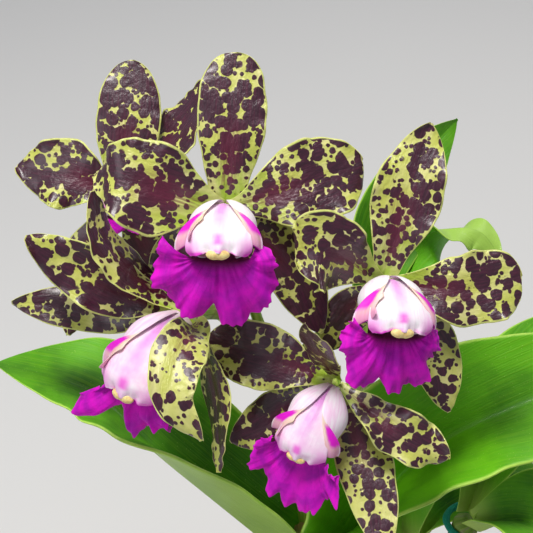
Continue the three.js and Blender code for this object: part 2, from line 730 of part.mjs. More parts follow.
const stemSeats = [swell(canes.lead)];
for (const [name, bloom] of Object.entries(BLOOMS)) {
  const place = lipFrame(bloom);
  const phase = Object.keys(BLOOMS).indexOf(name) * 1.3;
  const column = makeColumn(place);
  const apron = makeApron(place, bloom.lip, phase);
  const lobes = cut(makeLobes(place), [swell(column), swell(apron, 2 * GAP)]);
  const tepals = makeTepals(bloom, [swell(column), swell(lobes), swell(lobes, 2 * GAP)]);
  stemSeats.push(swell(tepals));
  add(`bloom_${name}_tepals`, tepals, "tepal");
  add(`bloom_${name}_column`, cut(column, [swell(apron)]), "column");
  add(`bloom_${name}_side_lobes`, lobes, "lobe");
  add(`bloom_${name}_apron`, apron, "apron");
}
add("flower_stem", cut(stem, stemSeats), "stem");

export default model;
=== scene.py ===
# %% [markdown]
# # A potted cattleya orchid
#
# The plant has a spray of five spotted blooms with magenta lips, two long leaves under
# them, more canes and leaves behind, and a clay pot of bark. The solid model already
# fixes where everything is. Here each of its plain solids is replaced by a finer piece
# with the same form: waved margins, veins, wrinkles and real surface colours.

import math
import random

import bmesh
import bpy
from mathutils import Matrix, Vector, noise


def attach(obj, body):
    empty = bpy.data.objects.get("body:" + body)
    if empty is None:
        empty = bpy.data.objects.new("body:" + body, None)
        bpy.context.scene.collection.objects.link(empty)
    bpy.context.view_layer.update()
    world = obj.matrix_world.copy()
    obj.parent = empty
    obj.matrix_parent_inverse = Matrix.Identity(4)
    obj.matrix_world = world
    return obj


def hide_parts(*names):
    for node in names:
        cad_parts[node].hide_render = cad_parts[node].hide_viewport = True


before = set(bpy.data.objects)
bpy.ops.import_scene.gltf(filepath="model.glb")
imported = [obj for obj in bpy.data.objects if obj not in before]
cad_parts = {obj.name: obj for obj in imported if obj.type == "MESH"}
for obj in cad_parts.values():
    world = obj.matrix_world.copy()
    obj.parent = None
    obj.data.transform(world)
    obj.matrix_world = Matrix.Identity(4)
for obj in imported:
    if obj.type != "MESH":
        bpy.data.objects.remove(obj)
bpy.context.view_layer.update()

# %% [markdown]
# ## Numbers and places
#
# Plants are drawn in millimetres, because petals and ruffles are small, and a last step
# turns each finished mesh into metres. A petal follows a smooth curve through three or
# four points, so one small class holds such a curve and tells where it is and which way
# it heads at any share of its length.

# %% Small helpers
TAU = math.tau
MILLIMETRE = 0.001


def mix(a, b, t):
    return a + (b - a) * t


def smooth(t):
    held = min(max(t, 0.0), 1.0)
    return held * held * (3 - 2 * held)


def along(values, t):
    """Value of an evenly spaced list of numbers at t from 0 to 1."""
    place = min(max(t, 0.0), 1.0) * (len(values) - 1)
    below = min(int(place), len(values) - 2)
    return mix(values[below], values[below + 1], smooth(place - below))


class Route:
    """A smooth curve through a few points."""

    def __init__(self, points):
        inner = [Vector(p) for p in points]
        self.points = [2 * inner[0] - inner[1], *inner, 2 * inner[-1] - inner[-2]]
        self.spans = len(inner) - 1

    def at(self, t):
        place = min(max(t, 0.0), 1.0) * self.spans
        span = min(int(place), self.spans - 1)
        w = place - span
        a, b, c, d = self.points[span:span + 4]
        leave, reach = (c - a) / 2, (d - b) / 2
        squared = 3 * (c - b) - 2 * leave - reach
        cubed = 2 * (b - c) + leave + reach
        return b + leave * w + squared * w ** 2 + cubed * w ** 3

    def heading(self, t):
        return (self.at(t + 1e-4) - self.at(t - 1e-4)).normalized()

    def length(self):
        steps = [self.at(k / 24) for k in range(25)]
        return sum((b - a).length for a, b in zip(steps, steps[1:]))


print("a curve through three points is", Route([(0, 0, 0), (1, 1, 0), (2, 0, 0)]).length(), "long")

# %% [markdown]
# ## The spray's own frame
#
# The spray leans forward and looks at a viewer who stands 38 degrees above the horizon.
# Its points are easier to think of along right, up and out of that view, so one matrix
# turns them into places of the whole plant.

# %% Frame of the spray
SPRAY = {"centre": [-6, -2, 402], "lean": 52}
spray_frame = Matrix.Translation(SPRAY["centre"]) @ Matrix.Rotation(math.radians(SPRAY["lean"]), 4, "X")


def in_spray(point):
    return spray_frame @ Vector(point)


def spray_direction(direction):
    return (spray_frame.to_3x3() @ Vector(direction)).normalized()


print("middle of the spray", in_spray((0, 0, 0)))

# %% [markdown]
# ## Thin sheets
#
# Petals, leaves, lips and papery bracts are all thin sheets. Each starts as a flat grid,
# and a function of two numbers bends it: u runs from foot to tip and v from one margin
# to the other. The grid keeps its flat measure in a UV map, in centimetres, so that spots
# and veins keep their real size, and each corner also remembers its u and v.

# %% Grids that are bent into sheets
def start_mesh():
    bm = bmesh.new()
    bm.loops.layers.uv.new("flat")
    for name in ("along", "across", "tone"):
        bm.verts.layers.float.new(name)
    return bm


def add_grid(bm, surface, rows, columns, patch=0, tone=0.0, turn_over=False):
    """Adds one bent grid. surface(u, v) gives the point and its flat place in millimetres."""
    made = bmesh.ops.create_grid(bm, x_segments=columns, y_segments=rows, size=1.0)["verts"]
    layers = bm.verts.layers.float
    keep_u, keep_v, keep_tone = layers["along"], layers["across"], layers["tone"]
    flat = {}
    for corner in made:
        v, u = corner.co.x, (corner.co.y + 1) / 2
        point, (x, y) = surface(u, v)
        corner.co = point
        corner[keep_u], corner[keep_v], corner[keep_tone] = u, v, tone
        flat[corner] = (x / 10 + 7.3 * patch, y / 10 + 11.9 * patch)
    faces = {face for corner in made for face in corner.link_faces}
    uv = bm.loops.layers.uv["flat"]
    for face in faces:
        face.smooth = True
        for loop in face.loops:
            loop[uv].uv = flat[loop.vert]
    if turn_over:
        bmesh.ops.reverse_faces(bm, faces=list(faces))
    return made


def close_seams(bm):
    bmesh.ops.remove_doubles(bm, verts=bm.verts[:], dist=1e-4)


print("sheets keep", start_mesh().verts.layers.float.keys())

# %% [markdown]
# ## From a mesh to a piece
#
# A finished mesh is scaled to metres and becomes a piece of the plant: it gets its
# finishes, rides on the plant's one body, and the solids it stands for are hidden. A Solidify
# modifier gives a sheet its thickness, with separate finishes for the face, the back and
# the rim, and one level of Subdivision Surface rounds the rim, as on a real petal.

# %% Pieces and their walls
def make_piece(name, bm, finishes, nodes):
    """Turns a bmesh in millimetres into a piece that stands for its solids."""
    bmesh.ops.scale(bm, vec=(MILLIMETRE,) * 3, verts=bm.verts[:])
    mesh = bpy.data.meshes.new(name)
    bm.to_mesh(mesh)
    bm.free()
    for finish in finishes:
        mesh.materials.append(finish)
    piece = bpy.data.objects.new(name, mesh)
    bpy.context.scene.collection.objects.link(piece)
    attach(piece, "root")
    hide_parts(*nodes)
    return piece


def thicken(piece, thickness, finishes=3):
    """Gives a sheet its wall and a rounded rim, with the back and rim finishes after the face's."""
    wall = piece.modifiers.new("wall", "SOLIDIFY")
    wall.thickness = thickness * MILLIMETRE
    wall.offset = 0
    wall.use_even_offset = True
    wall.thickness_clamp = 2
    wall.material_offset = 1 if finishes > 1 else 0
    wall.material_offset_rim = 2 if finishes > 2 else 0
    rounding = piece.modifiers.new("rounding", "SUBSURF")
    rounding.levels = rounding.render_levels = 1


# %% [markdown]
# ## Shader arithmetic
#
# A finish is worked out from noise, spots and the sheet's own u and v. Written as plain
# arithmetic it stays readable, so a small class stands for one wire between nodes and
# adds a Math node for each sum. Colours are given as a screen shows them, and one
# function turns them into the linear light that shaders use.

# %% Wires and tints
class Wire:
    """One number, colour or vector on its way through a material's nodes."""

    def __init__(self, finish, socket):
        self.finish = finish
        self.socket = socket

    def math(self, operation, *inputs):
        return self.finish.node("ShaderNodeMath", {"operation": operation}, inputs)

    def __add__(self, other):
        return self.math("ADD", self, other)

    def __radd__(self, other):
        return self.math("ADD", other, self)

    def __sub__(self, other):
        return self.math("SUBTRACT", self, other)

    def __rsub__(self, other):
        return self.math("SUBTRACT", other, self)

    def __mul__(self, other):
        return self.math("MULTIPLY", self, other)

    def __rmul__(self, other):
        return self.math("MULTIPLY", other, self)

    def __abs__(self):
        return self.math("ABSOLUTE", self)

    def least(self, other):
        return self.math("MINIMUM", self, other)

    def most(self, other):
        return self.math("MAXIMUM", self, other)

    def rise(self, low, high, to=1.0):
        """0 below low and "to" above high, with a soft step between."""
        return self.finish.node(
            "ShaderNodeMapRange", {"interpolation_type": "SMOOTHSTEP"},
            {"Value": self, "From Min": low, "From Max": high, "To Max": to})


def tint(red, green, blue):
    """A colour as a screen shows it, 0 to 255, in the linear light that shaders use."""
    shares = [value / 255 for value in (red, green, blue)]
    linear = [c / 12.92 if c < 0.0405 else ((c + 0.055) / 1.055) ** 2.4 for c in shares]
    return (*linear, 1.0)


print("middle grey in linear light", tint(128, 128, 128))

# %% [markdown]
# ## One class for a material
#
# A material is one Principled shader with its fixed values set on the shader's own
# sockets. One method adds any node from its type, its settings and its inputs. The others
# name what comes up again and again: noise, cells, a blend of two colours, and bump.

# %% Finishes
class Finish:
    """One material, with a method that adds any node and a few for common ones."""

    def __init__(self, name, **constants):
        self.material = bpy.data.materials.new(name)
        self.material.use_nodes = True
        self.tree = self.material.node_tree
        self.shader = self.tree.nodes["Principled BSDF"]
        for socket, value in constants.items():
            self.shader.inputs[socket.replace("_", " ")].default_value = value

    def put(self, socket, value):
        if isinstance(value, Wire):
            self.tree.links.new(value.socket, socket)
        else:
            socket.default_value = value

    def node(self, kind, settings=None, inputs=(), output=0):
        node = self.tree.nodes.new(kind)
        for setting, value in (settings or {}).items():
            setattr(node, setting, value)
        pairs = inputs.items() if isinstance(inputs, dict) else enumerate(inputs)
        for socket, value in pairs:
            self.put(node.inputs[socket], value)
        return Wire(self, node.outputs[output])

    def feed(self, **sockets):
        for socket, value in sockets.items():
            self.put(self.shader.inputs[socket.replace("_", " ")], value)
        return self.material

    def flat(self):
        return self.node("ShaderNodeUVMap", {"uv_map": "flat"})

    def place(self):
        return self.node("ShaderNodeTexCoord", output="Object")

    def kept(self, name):
        return self.node("ShaderNodeAttribute", {"attribute_name": name}, output="Fac")

    def stretched(self, where, scale):
        return self.node("ShaderNodeVectorMath", {"operation": "MULTIPLY"}, [where, scale])

    def noise(self, where, scale, detail=3.0, roughness=0.5, output="Fac"):
        return self.node("ShaderNodeTexNoise", None,
                         {"Vector": where, "Scale": scale, "Detail": detail, "Roughness": roughness}, output)

    def cells(self, where, scale, feature="F1"):
        return self.node("ShaderNodeTexVoronoi", {"feature": feature},
                         {"Vector": where, "Scale": scale}, "Distance")

    def shift(self, where, scale, amount):
        """The same place pushed about by soft noise, which makes regular patterns grow wild."""
        wander = self.noise(where, scale, 2.0, output="Color")
        centred = self.node("ShaderNodeVectorMath", {"operation": "SUBTRACT"}, [wander, (0.5, 0.5, 0.5)])
        push = self.node("ShaderNodeVectorMath", {"operation": "SCALE"}, {0: centred, "Scale": amount})
        return self.node("ShaderNodeVectorMath", {"operation": "ADD"}, [where, push])

    def blend(self, share, first, second):
        return self.node("ShaderNodeMix", {"data_type": "RGBA"}, {0: share, 6: first, 7: second}, 2)

    def bump(self, height, depth, strength=1.0):
        return self.node("ShaderNodeBump", None,
                         {"Height": height, "Distance": depth * MILLIMETRE, "Strength": strength})


print("a finish can", [name for name in vars(Finish) if not name.startswith("_")])

# %% [markdown]
# ## Spotted petals
#
# The petals are a waxy yellow-green with maroon blotches. Up close the blotches are
# round dots of two sizes. The small ones crowd near the foot, the large ones run into one
# another towards the tip, and a thin margin stays clean. Each dot is a disc round a point
# of a Voronoi texture, and the disc grows wherever a cloud says the blotches should crowd.
# A crimson flush lies over the middle of each petal near the lip. Fine lengthwise wrinkles
# catch the light.

# %% Finish of the petals' faces and backs
LIME = tint(196, 200, 92)
PALE_LIME = tint(224, 218, 148)
MARGIN_LIME = tint(208, 216, 118)
MAROON = tint(52, 16, 34)
WINE = tint(78, 24, 48)
CRIMSON = tint(104, 4, 46)
FOOT_GREEN = tint(150, 182, 30)


def petal_finish(name, fewer=0.0, wash=0.0):
    """fewer thins the blotches out, and wash veils the colours, as on a back."""
    finish = Finish(name, IOR=1.45, Specular_IOR_Level=0.6, Coat_Roughness=0.22)
    flat = finish.flat()
    u, v, tone = finish.kept("along"), abs(finish.kept("across")), finish.kept("tone")
    cloud = finish.noise(finish.stretched(flat, (1.5, 0.7, 1.0)), 1.0, 2.0)
    crowd = u.rise(0.0, 0.6) * 0.12 + (cloud - 0.5) * 0.7 + tone - fewer
    crowd = crowd + (1 - v.rise(0.0, 0.4)) * (1 - u.rise(0.5, 0.8)) * 0.1
    crowd = crowd + (1 - v.rise(0.25, 0.8)) * u.rise(0.06, 0.14) * (1 - u.rise(0.26, 0.5)) * 0.06
    big = finish.cells(finish.shift(flat, 4.0, 0.1), 2.7)
    small = finish.cells(finish.shift(flat, 7.0, 0.06), 4.6)
    dots = (0.385 + crowd) * u.rise(0.08, 0.28) - big
    near = (0.45 + crowd * 0.6 - u.rise(0.2, 0.55) * 0.2) * u.rise(0.02, 0.09)
    dots = dots.most((near - small) * 0.6)
    inside = (1 - v.rise(0.93, 0.965)) * (1 - u.rise(0.975, 0.99))
    blotch = dots.rise(-0.02, 0.035) * inside
    ground = finish.blend(u.rise(0.02, 0.4), FOOT_GREEN, LIME)
    ground = finish.blend(cloud.rise(0.35, 0.7, 0.9), ground, PALE_LIME)
    ground = finish.blend(v.rise(0.9, 0.98), ground, MARGIN_LIME)
    streak = finish.noise(finish.stretched(flat, (16.0, 1.6, 1.0)), 1.0, 3.0)
    dark = finish.blend(streak.rise(0.35, 0.75), MAROON, WINE)
    flush = (1 - v.rise(0.1, 0.55)) * u.rise(0.06, 0.14) * (1 - u.rise(0.28, 0.58))
    dark = finish.blend(flush * 0.5, dark, CRIMSON)
    ground = finish.blend(flush * 0.7 * streak.rise(0.35, 0.6), ground, CRIMSON)
    colour = finish.blend(blotch, ground, dark)
    if wash:
        colour = finish.blend(wash, colour, tint(150, 158, 84))
    wrinkle = finish.noise(finish.stretched(flat, (9.0, 3.0, 1.0)), 1.0, 4.0, 0.6)
    pucker = finish.noise(flat, 3.6, 3.0)
    height = wrinkle * 0.8 + pucker + dots.rise(-0.3, 0.3, 0.35)
    return finish.feed(Base_Color=colour, Roughness=0.3 + wrinkle * 0.16, Coat_Weight=0.15 + blotch * 0.35,
                       Normal=finish.bump(height, 0.45, 0.9))


petal_face = petal_finish("spotted petal face")
petal_back = petal_finish("spotted petal back", fewer=0.1, wash=0.35)


def margin_finish():
    finish = Finish("petal margin", Specular_IOR_Level=0.5)
    shade = finish.noise(finish.flat(), 3.0, 3.0)
    colour = finish.blend(shade.rise(0.35, 0.7), PALE_LIME, tint(190, 186, 96))
    return finish.feed(Base_Color=colour, Roughness=0.42 + shade * 0.1)


petal_margin = margin_finish()
print("petal finishes:", petal_face.name, petal_back.name, petal_margin.name)

# %% [markdown]
# ## Side lobes of the lip
#
# The lip has three parts that look quite different, so each has its own finish. The two
# side lobes close over the column as a white dome with fine lengthwise veins. They turn
# hot magenta at their front corners, and inside they are tan towards the front.

# %% Finish of the side lobes
WHITE = tint(250, 240, 246)
BLUSH = tint(244, 186, 226)
HOT = tint(224, 10, 200)


def lobe_finish(name, inside):
    finish = Finish(name, Subsurface_Weight=0.12, Subsurface_Scale=0.002, Specular_IOR_Level=0.5)
    finish.shader.inputs["Subsurface Radius"].default_value = (1.0, 0.6, 0.8)
    flat = finish.flat()
    u, v = finish.kept("along"), abs(finish.kept("across"))
    vein = finish.noise(finish.stretched(flat, (9.0, 1.2, 1.0)), 1.0, 3.0)
    ragged = finish.noise(flat, 3.0, 2.0) * 0.16
    if inside:
        colour = finish.blend(vein.rise(0.35, 0.7), tint(238, 206, 168), tint(248, 222, 214))
        colour = finish.blend(1 - u.rise(0.45, 0.7), colour, WHITE)
        colour = finish.blend((u + ragged).rise(0.86, 1.08) * 0.7, colour, tint(232, 130, 200))
        colour = finish.blend(v.rise(0.94, 1.0), colour, WHITE)
        lengthwise = u.rise(0.66, 0.74) * (1 - (u + ragged * 0.3).rise(0.9, 0.95))
        crescent = (v + ragged * 0.4).rise(0.84, 0.89) * lengthwise
        colour = finish.blend(crescent, colour, HOT)
    else:
        colour = finish.blend(vein.rise(0.45, 0.75, 0.3), WHITE, BLUSH)
        colour = finish.blend((1 - u.rise(0.0, 0.25)) * 0.6, colour, tint(226, 216, 178))
        colour = finish.blend(finish.kept("tone") * vein.rise(0.2, 0.7), colour, BLUSH)
        corner = (v + ragged * 0.6).rise(0.6, 0.68) * (u + ragged * 0.5).rise(0.84, 0.9)
        colour = finish.blend(corner, colour, HOT)
    return finish.feed(Base_Color=colour, Roughness=0.42 + vein * 0.12,
                       Normal=finish.bump(vein, 0.25, 0.6))


lobe_outside = lobe_finish("side lobe outside", False)
lobe_inside = lobe_finish("side lobe inside", True)
print("side lobe finishes:", lobe_outside.name, lobe_inside.name)

# %% [markdown]
# ## Column
#
# The column is white too, with a lilac streak down its middle, a magenta spot near its
# front and magenta corners. Each mark is a mask made from the sheet's own u and v, and
# noise softens its outline, because the colour of a petal seeps out and has no hard edge.

# %% Finish of the column
LILAC = tint(226, 130, 220)


def column_finish():
    finish = Finish("column", Subsurface_Weight=0.12, Subsurface_Scale=0.002, Specular_IOR_Level=0.5)
    finish.shader.inputs["Subsurface Radius"].default_value = (1.0, 0.6, 0.8)
    flat = finish.flat()
    u, v = finish.kept("along"), abs(finish.kept("across"))
    vein = finish.noise(finish.stretched(flat, (10.0, 1.4, 1.0)), 1.0, 3.0)
    cloud = finish.noise(flat, 2.4, 3.0)
    streak = (1 - (v + vein * 0.3).rise(0.16, 0.62)) * (1 - u.rise(0.35, 0.75) * 0.7) * (0.35 + cloud)
    colour = finish.blend(vein.rise(0.4, 0.8, 0.4), WHITE, BLUSH)
    colour = finish.blend(finish.kept("tone") * cloud.rise(0.2, 0.7), colour, BLUSH)
    colour = finish.blend(streak.least(0.8), colour, LILAC)
    spot = (1 - (v + cloud * 0.2).rise(0.12, 0.34)) * u.rise(0.7, 0.78) * (1 - u.rise(0.84, 0.9))
    corner = u.rise(0.6, 0.96) * v.rise(0.4, 0.95) + u.rise(0.92, 1.0) * cloud.rise(0.4, 0.6)
    colour = finish.blend((spot * 0.8).most(corner * 0.9).least(1.0), colour, tint(234, 62, 206))
    return finish.feed(Base_Color=colour, Roughness=0.4 + vein * 0.12,
                       Normal=finish.bump(vein, 0.25, 0.6))


column_white = column_finish()
print("column finish:", column_white.name)

# %% [markdown]
# ## Apron
#
# The apron in front is magenta velvet. Its veins fan out from the throat, so their
# noise is stretched along u instead of along a straight line. The throat is painted dark as
# shade under the column and side lobes, and the frilled margin is painted a little brighter
# as a highlight where the ruffles catch the light. A trace of sheen stands for the velvet's tiny hairs.

# %% Finish of the apron
PURPLE = tint(98, 0, 100)
THROAT_SHARE = 0.14
SPREAD_SCALE = 1.16


def apron_finish(name, front):
    finish = Finish(name, Sheen_Weight=0.03, Sheen_Roughness=0.4, Specular_IOR_Level=0.25)
    finish.shader.inputs["Sheen Tint"].default_value = tint(255, 120, 240)
    flat = finish.flat()
    u, v = (finish.kept("along") - THROAT_SHARE) * SPREAD_SCALE, finish.kept("across")
    fan = finish.noise(finish.node("ShaderNodeCombineXYZ", None, [v * 13.0, u * 1.6, 0.0]), 1.0, 4.0, 0.6)
    velvet = finish.noise(flat, 24.0, 2.0)
    patch = finish.noise(flat, 1.6, 3.0)
    colour = finish.blend(patch.rise(0.3, 0.7), tint(172, 0, 172), tint(222, 0, 196))
    colour = finish.blend(fan.rise(0.5, 0.74, 0.45), colour, PURPLE)
    # painted shade: the throat and the apron's foot are darker, where the column and side lobes shade them
    colour = finish.blend(1 - u.rise(0.0, 0.2), colour, tint(96, 4, 66))
    # painted highlight: the frilled margin is brighter, where the ruffles catch the light
    colour = finish.blend(u.rise(0.84, 1.0) * 0.5, colour, tint(232, 16, 206))
    if not front:
        colour = finish.blend(0.4, colour, tint(196, 96, 190))
    height = fan * 0.8 + velvet * 0.35 + patch * 0.5
    return finish.feed(Base_Color=colour, Roughness=0.56 + velvet * 0.2,
                       Normal=finish.bump(height, 0.5, 0.85))


apron_front = apron_finish("apron face", True)
apron_behind = apron_finish("apron back", False)
print("apron finishes:", apron_front.name, apron_behind.name)

# %% [markdown]
# ## Leaf finishes
#
# A cattleya leaf is thick and leathery: a deep green face with fine lengthwise veins and
# pale specks, a paler back, and a thin yellow-green rim. Face and back share one function,
# and the back only has lighter greens with a veil over them.

# %% Finishes of the leaves
def leaf_finish(name, deep, bright, veil):
    finish = Finish(name, Specular_IOR_Level=0.36)
    flat = finish.flat()
    u, v = finish.kept("along"), abs(finish.kept("across"))
    tone = finish.kept("tone")
    vein = finish.noise(finish.stretched(flat, (16.0, 0.5, 1.0)), 1.0, 3.0)
    cloud = finish.noise(flat, 0.5, 3.0)
    speck = 1 - finish.cells(flat, 8.0).rise(0.05, 0.12)
    colour = finish.blend((cloud.rise(0.3, 0.7) * 0.6 + v * 0.3 + tone).least(1.0), deep, bright)
    colour = finish.blend(vein.rise(0.4, 0.7, 0.2), colour, tint(140, 196, 30))
    colour = finish.blend((1 - v.rise(0.0, 0.05)) * 0.3, colour, tint(52, 116, 8))
    colour = finish.blend(v.rise(0.95, 1.0) * 0.8, colour, tint(176, 216, 84))
    colour = finish.blend(speck * 0.5, colour, tint(198, 222, 120))
    colour = finish.blend(1 - u.rise(0.0, 0.16), colour, tint(170, 196, 90))
    if veil:
        colour = finish.blend(veil, colour, tint(168, 198, 96))
    height = vein * 0.6 + finish.noise(flat, 1.2, 3.0)
    return finish.feed(Base_Color=colour, Roughness=0.42 + vein * 0.14 + cloud * 0.06, Coat_Weight=0.06,
                       Normal=finish.bump(height, 0.5, 0.8))


def leaf_rim_finish():
    finish = Finish("leaf rim", Specular_IOR_Level=0.5)
    shade = finish.noise(finish.flat(), 2.0, 3.0)
    colour = finish.blend(shade.rise(0.4, 0.7), tint(178, 216, 84), tint(150, 196, 66))
    return finish.feed(Base_Color=colour, Roughness=0.45 + shade * 0.1)


leaf_face = leaf_finish("leaf face", tint(30, 88, 8), tint(96, 176, 4), 0.0)
leaf_back = leaf_finish("leaf back", tint(92, 142, 44), tint(150, 194, 70), 0.35)
leaf_rim = leaf_rim_finish()
print("leaf finishes:", leaf_face.name, leaf_back.name, leaf_rim.name)

# %% [markdown]
# ## Cane and stem finishes
#
# The canes are green under a dull papery skin, which has worn away most near their tops.
# The flower stems are a smooth light green, flushed with dark red in places.

# %% Finishes of canes and stems
def cane_finish():
    finish = Finish("cane", Specular_IOR_Level=0.4)
    flat, place = finish.flat(), finish.place()
    u = finish.kept("along")
    grain = finish.noise(finish.stretched(flat, (12.0, 0.7, 1.0)), 1.0, 4.0)
    worn = finish.noise(finish.stretched(flat, (3.0, 0.6, 1.0)), 1.0, 3.0)
    skin = (worn + (0.42 - u * 0.5)).rise(0.42, 0.56)
    green = finish.blend(grain.rise(0.3, 0.8), tint(112, 142, 52), tint(158, 176, 84))
    papery = finish.blend(grain.rise(0.35, 0.7), tint(196, 188, 156), tint(138, 122, 88))
    colour = finish.blend(skin, green, papery)
    mark = finish.noise(place, 60.0, 3.0).rise(0.62, 0.72, 0.5)
    colour = finish.blend(mark, colour, tint(92, 78, 44))
    return finish.feed(Base_Color=colour, Roughness=0.42 + skin * 0.35,
                       Normal=finish.bump(grain + skin * 0.6, 0.4, 0.8))


def stem_finish():
    finish = Finish("flower stem", Specular_IOR_Level=0.5, Subsurface_Weight=0.05, Subsurface_Scale=0.002)
    flat = finish.flat()
    u = finish.kept("along")
    rib = finish.noise(finish.stretched(flat, (9.0, 0.8, 1.0)), 1.0, 3.0)
    colour = finish.blend(rib.rise(0.3, 0.75), tint(120, 158, 40), tint(186, 204, 88))
    flush = finish.noise(flat, 2.4, 3.0).rise(0.56, 0.68, 0.5) * u.rise(0.3, 0.7)
    colour = finish.blend(flush, colour, tint(120, 56, 60))
    return finish.feed(Base_Color=colour, Roughness=0.4 + rib * 0.12, Normal=finish.bump(rib, 0.2, 0.6))


cane_skin = cane_finish()
stem_green = stem_finish()
print("cane and stem finishes:", cane_skin.name, stem_green.name)

# %% [markdown]
# ## Clay and bark
#
# None of this shows in the picture, so it follows what such a plant is grown in: a plain
# fired clay pot and dark rough bark. Lime blooms pale on clay where water dries, near the
# rim and the foot, so its mask depends on height. Bark is layered, and it cracks in cells.

# %% Finishes of clay and bark
def clay_finish():
    finish = Finish("fired clay", Specular_IOR_Level=0.3)
    place = finish.place()
    height = finish.node("ShaderNodeSeparateXYZ", None, [place], "Z")
    cloud = finish.noise(place, 22.0, 5.0, 0.6)
    grit = finish.noise(place, 420.0, 3.0)
    rings = finish.noise(finish.stretched(place, (2.0, 2.0, 160.0)), 1.0, 2.0)
    colour = finish.blend(cloud.rise(0.3, 0.75), tint(186, 98, 62), tint(150, 72, 46))
    colour = finish.blend(grit.rise(0.6, 0.7, 0.4), colour, tint(212, 140, 100))
    bloom = (height.rise(0.085, 0.13) + (1 - height.rise(0.0, 0.03))) * cloud.rise(0.45, 0.62)
    colour = finish.blend(bloom * 0.55, colour, tint(226, 210, 192))
    return finish.feed(Base_Color=colour, Roughness=0.82 + grit * 0.12,
                       Normal=finish.bump(rings * 0.7 + grit * 0.3 + cloud * 0.4, 0.5, 0.8))


def bark_finish():
    finish = Finish("bark", Specular_IOR_Level=0.25)
    place = finish.place()
    own = finish.kept("tone")
    layer = finish.noise(finish.stretched(place, (90.0, 90.0, 320.0)), 1.0, 4.0, 0.65)
    crack = finish.cells(place, 130.0, "DISTANCE_TO_EDGE").rise(0.0, 0.12)
    colour = finish.blend(layer.rise(0.3, 0.7), tint(66, 42, 28), tint(128, 88, 58))
    colour = finish.blend(own.rise(0.4, 1.0, 0.6), colour, tint(150, 112, 80))
    colour = finish.blend(1 - crack, colour, tint(34, 22, 16))
    return finish.feed(Base_Color=colour, Roughness=0.86 + layer * 0.1,
                       Normal=finish.bump(layer + crack * 0.5, 1.0, 0.9))


fired_clay = clay_finish()
rough_bark = bark_finish()
print("pot finishes:", fired_clay.name, rough_bark.name)

# %% [markdown]
# ## Roots, sheath and tie
#
# Orchid roots wear a silvery coat with green tips, while the rhizome is brown-green and
# scarred. The sheath is dry, fibrous paper. The tie is soft teal fabric, so its finish is
# a diagonal weave with some fuzz.

# %% Finishes of roots, sheath and tie
def root_finish():
    finish = Finish("rhizome and roots", Specular_IOR_Level=0.3)
    flat, place, tone = finish.flat(), finish.place(), finish.kept("tone")
    u = finish.kept("along")
    scar = finish.noise(finish.stretched(flat, (1.0, 6.0, 1.0)), 1.0, 3.0)
    fibre = finish.noise(finish.stretched(flat, (14.0, 1.0, 1.0)), 1.0, 4.0)
    stem = finish.blend(scar.rise(0.4, 0.62), tint(116, 118, 58), tint(120, 92, 58))
    velamen = finish.blend(fibre.rise(0.3, 0.7), tint(214, 212, 196), tint(168, 160, 136))
    velamen = finish.blend(u.rise(0.82, 0.96), velamen, tint(126, 156, 82))
    colour = finish.blend(tone, stem, velamen)
    return finish.feed(Base_Color=colour, Roughness=0.62 + fibre * 0.2,
                       Normal=finish.bump(fibre + scar, 0.35, 0.8))


def sheath_finish():
    finish = Finish("papery sheath", Specular_IOR_Level=0.35)
    flat = finish.flat()
    u = finish.kept("along")
    fibre = finish.noise(finish.stretched(flat, (16.0, 0.8, 1.0)), 1.0, 4.0)
    colour = finish.blend(fibre.rise(0.3, 0.75), tint(188, 184, 116), tint(150, 152, 76))
    colour = finish.blend((u + fibre * 0.3).rise(0.8, 1.1, 0.8), colour, tint(170, 130, 84))
    return finish.feed(Base_Color=colour, Roughness=0.6 + fibre * 0.15, Normal=finish.bump(fibre, 0.3, 0.9))


def tie_finish():
    finish = Finish("soft teal tie", Specular_IOR_Level=0.3)
    flat = finish.flat()
    weave = finish.node("ShaderNodeTexWave", {"wave_type": "BANDS", "bands_direction": "DIAGONAL"},
                        {"Vector": flat, "Scale": 9.0, "Distortion": 0.4}, "Fac")
    fuzz = finish.noise(flat, 20.0, 3.0)
    colour = finish.blend(weave, tint(0, 128, 112), tint(36, 178, 156))
    colour = finish.blend(fuzz.rise(0.55, 0.7, 0.4), colour, tint(120, 214, 196))
    return finish.feed(Base_Color=colour, Roughness=0.72 + fuzz * 0.12,
                       Normal=finish.bump(weave + fuzz * 0.5, 0.35, 0.9))


root_skin = root_finish()
papery_sheath = sheath_finish()
soft_tie = tie_finish()
print("other finishes:", root_skin.name, papery_sheath.name, soft_tie.name)

# %% [markdown]
# ## The pot
#
# A clay pot is thrown or pressed round an axis, so its wall is one profile turned about
# that axis. A lathe of plain quads keeps the wall's thickness true all the way round. Its
# sharp rings are then rounded by a bevel, as the edges of worn fired clay are.

# %% Turn the pot
POT = {
    "height": 130, "footRadius": 50, "shoulderRadius": 68, "rimRadius": 76, "band": 26, "wall": 6, "floor": 8,
}


def turn_profile(profile, steps):
    bm = bmesh.new()
    corners = [bm.verts.new((x, 0, z)) for x, z in profile]
    lines = [bm.edges.new(pair) for pair in zip(corners, corners[1:])]
    bmesh.ops.spin(bm, geom=corners + lines, cent=(0, 0, 0), axis=(0, 0, 1), dvec=(0, 0, 0),
                   angle=TAU, steps=steps, use_merge=True, use_normal_flip=False, use_duplicate=False)
    bmesh.ops.remove_doubles(bm, verts=bm.verts[:], dist=1e-4)
    bmesh.ops.recalc_face_normals(bm, faces=bm.faces[:])
    return bm


def pot_profile():
    shoulder = POT["height"] - POT["band"]
    rim, wall, floor, top = POT["rimRadius"], POT["wall"], POT["floor"], POT["height"]
    return [
        (0, 0), (POT["footRadius"], 0), (POT["footRadius"] + 1.5, 1.5), (POT["shoulderRadius"], shoulder),
        (rim - 1, shoulder + 1), (rim, top - 2), (rim - 2, top), (rim - wall + 1, top),
        (rim - wall - 1, top - 2), (POT["shoulderRadius"] - wall, shoulder),
        (POT["footRadius"] - wall, floor), (0, floor),
    ]


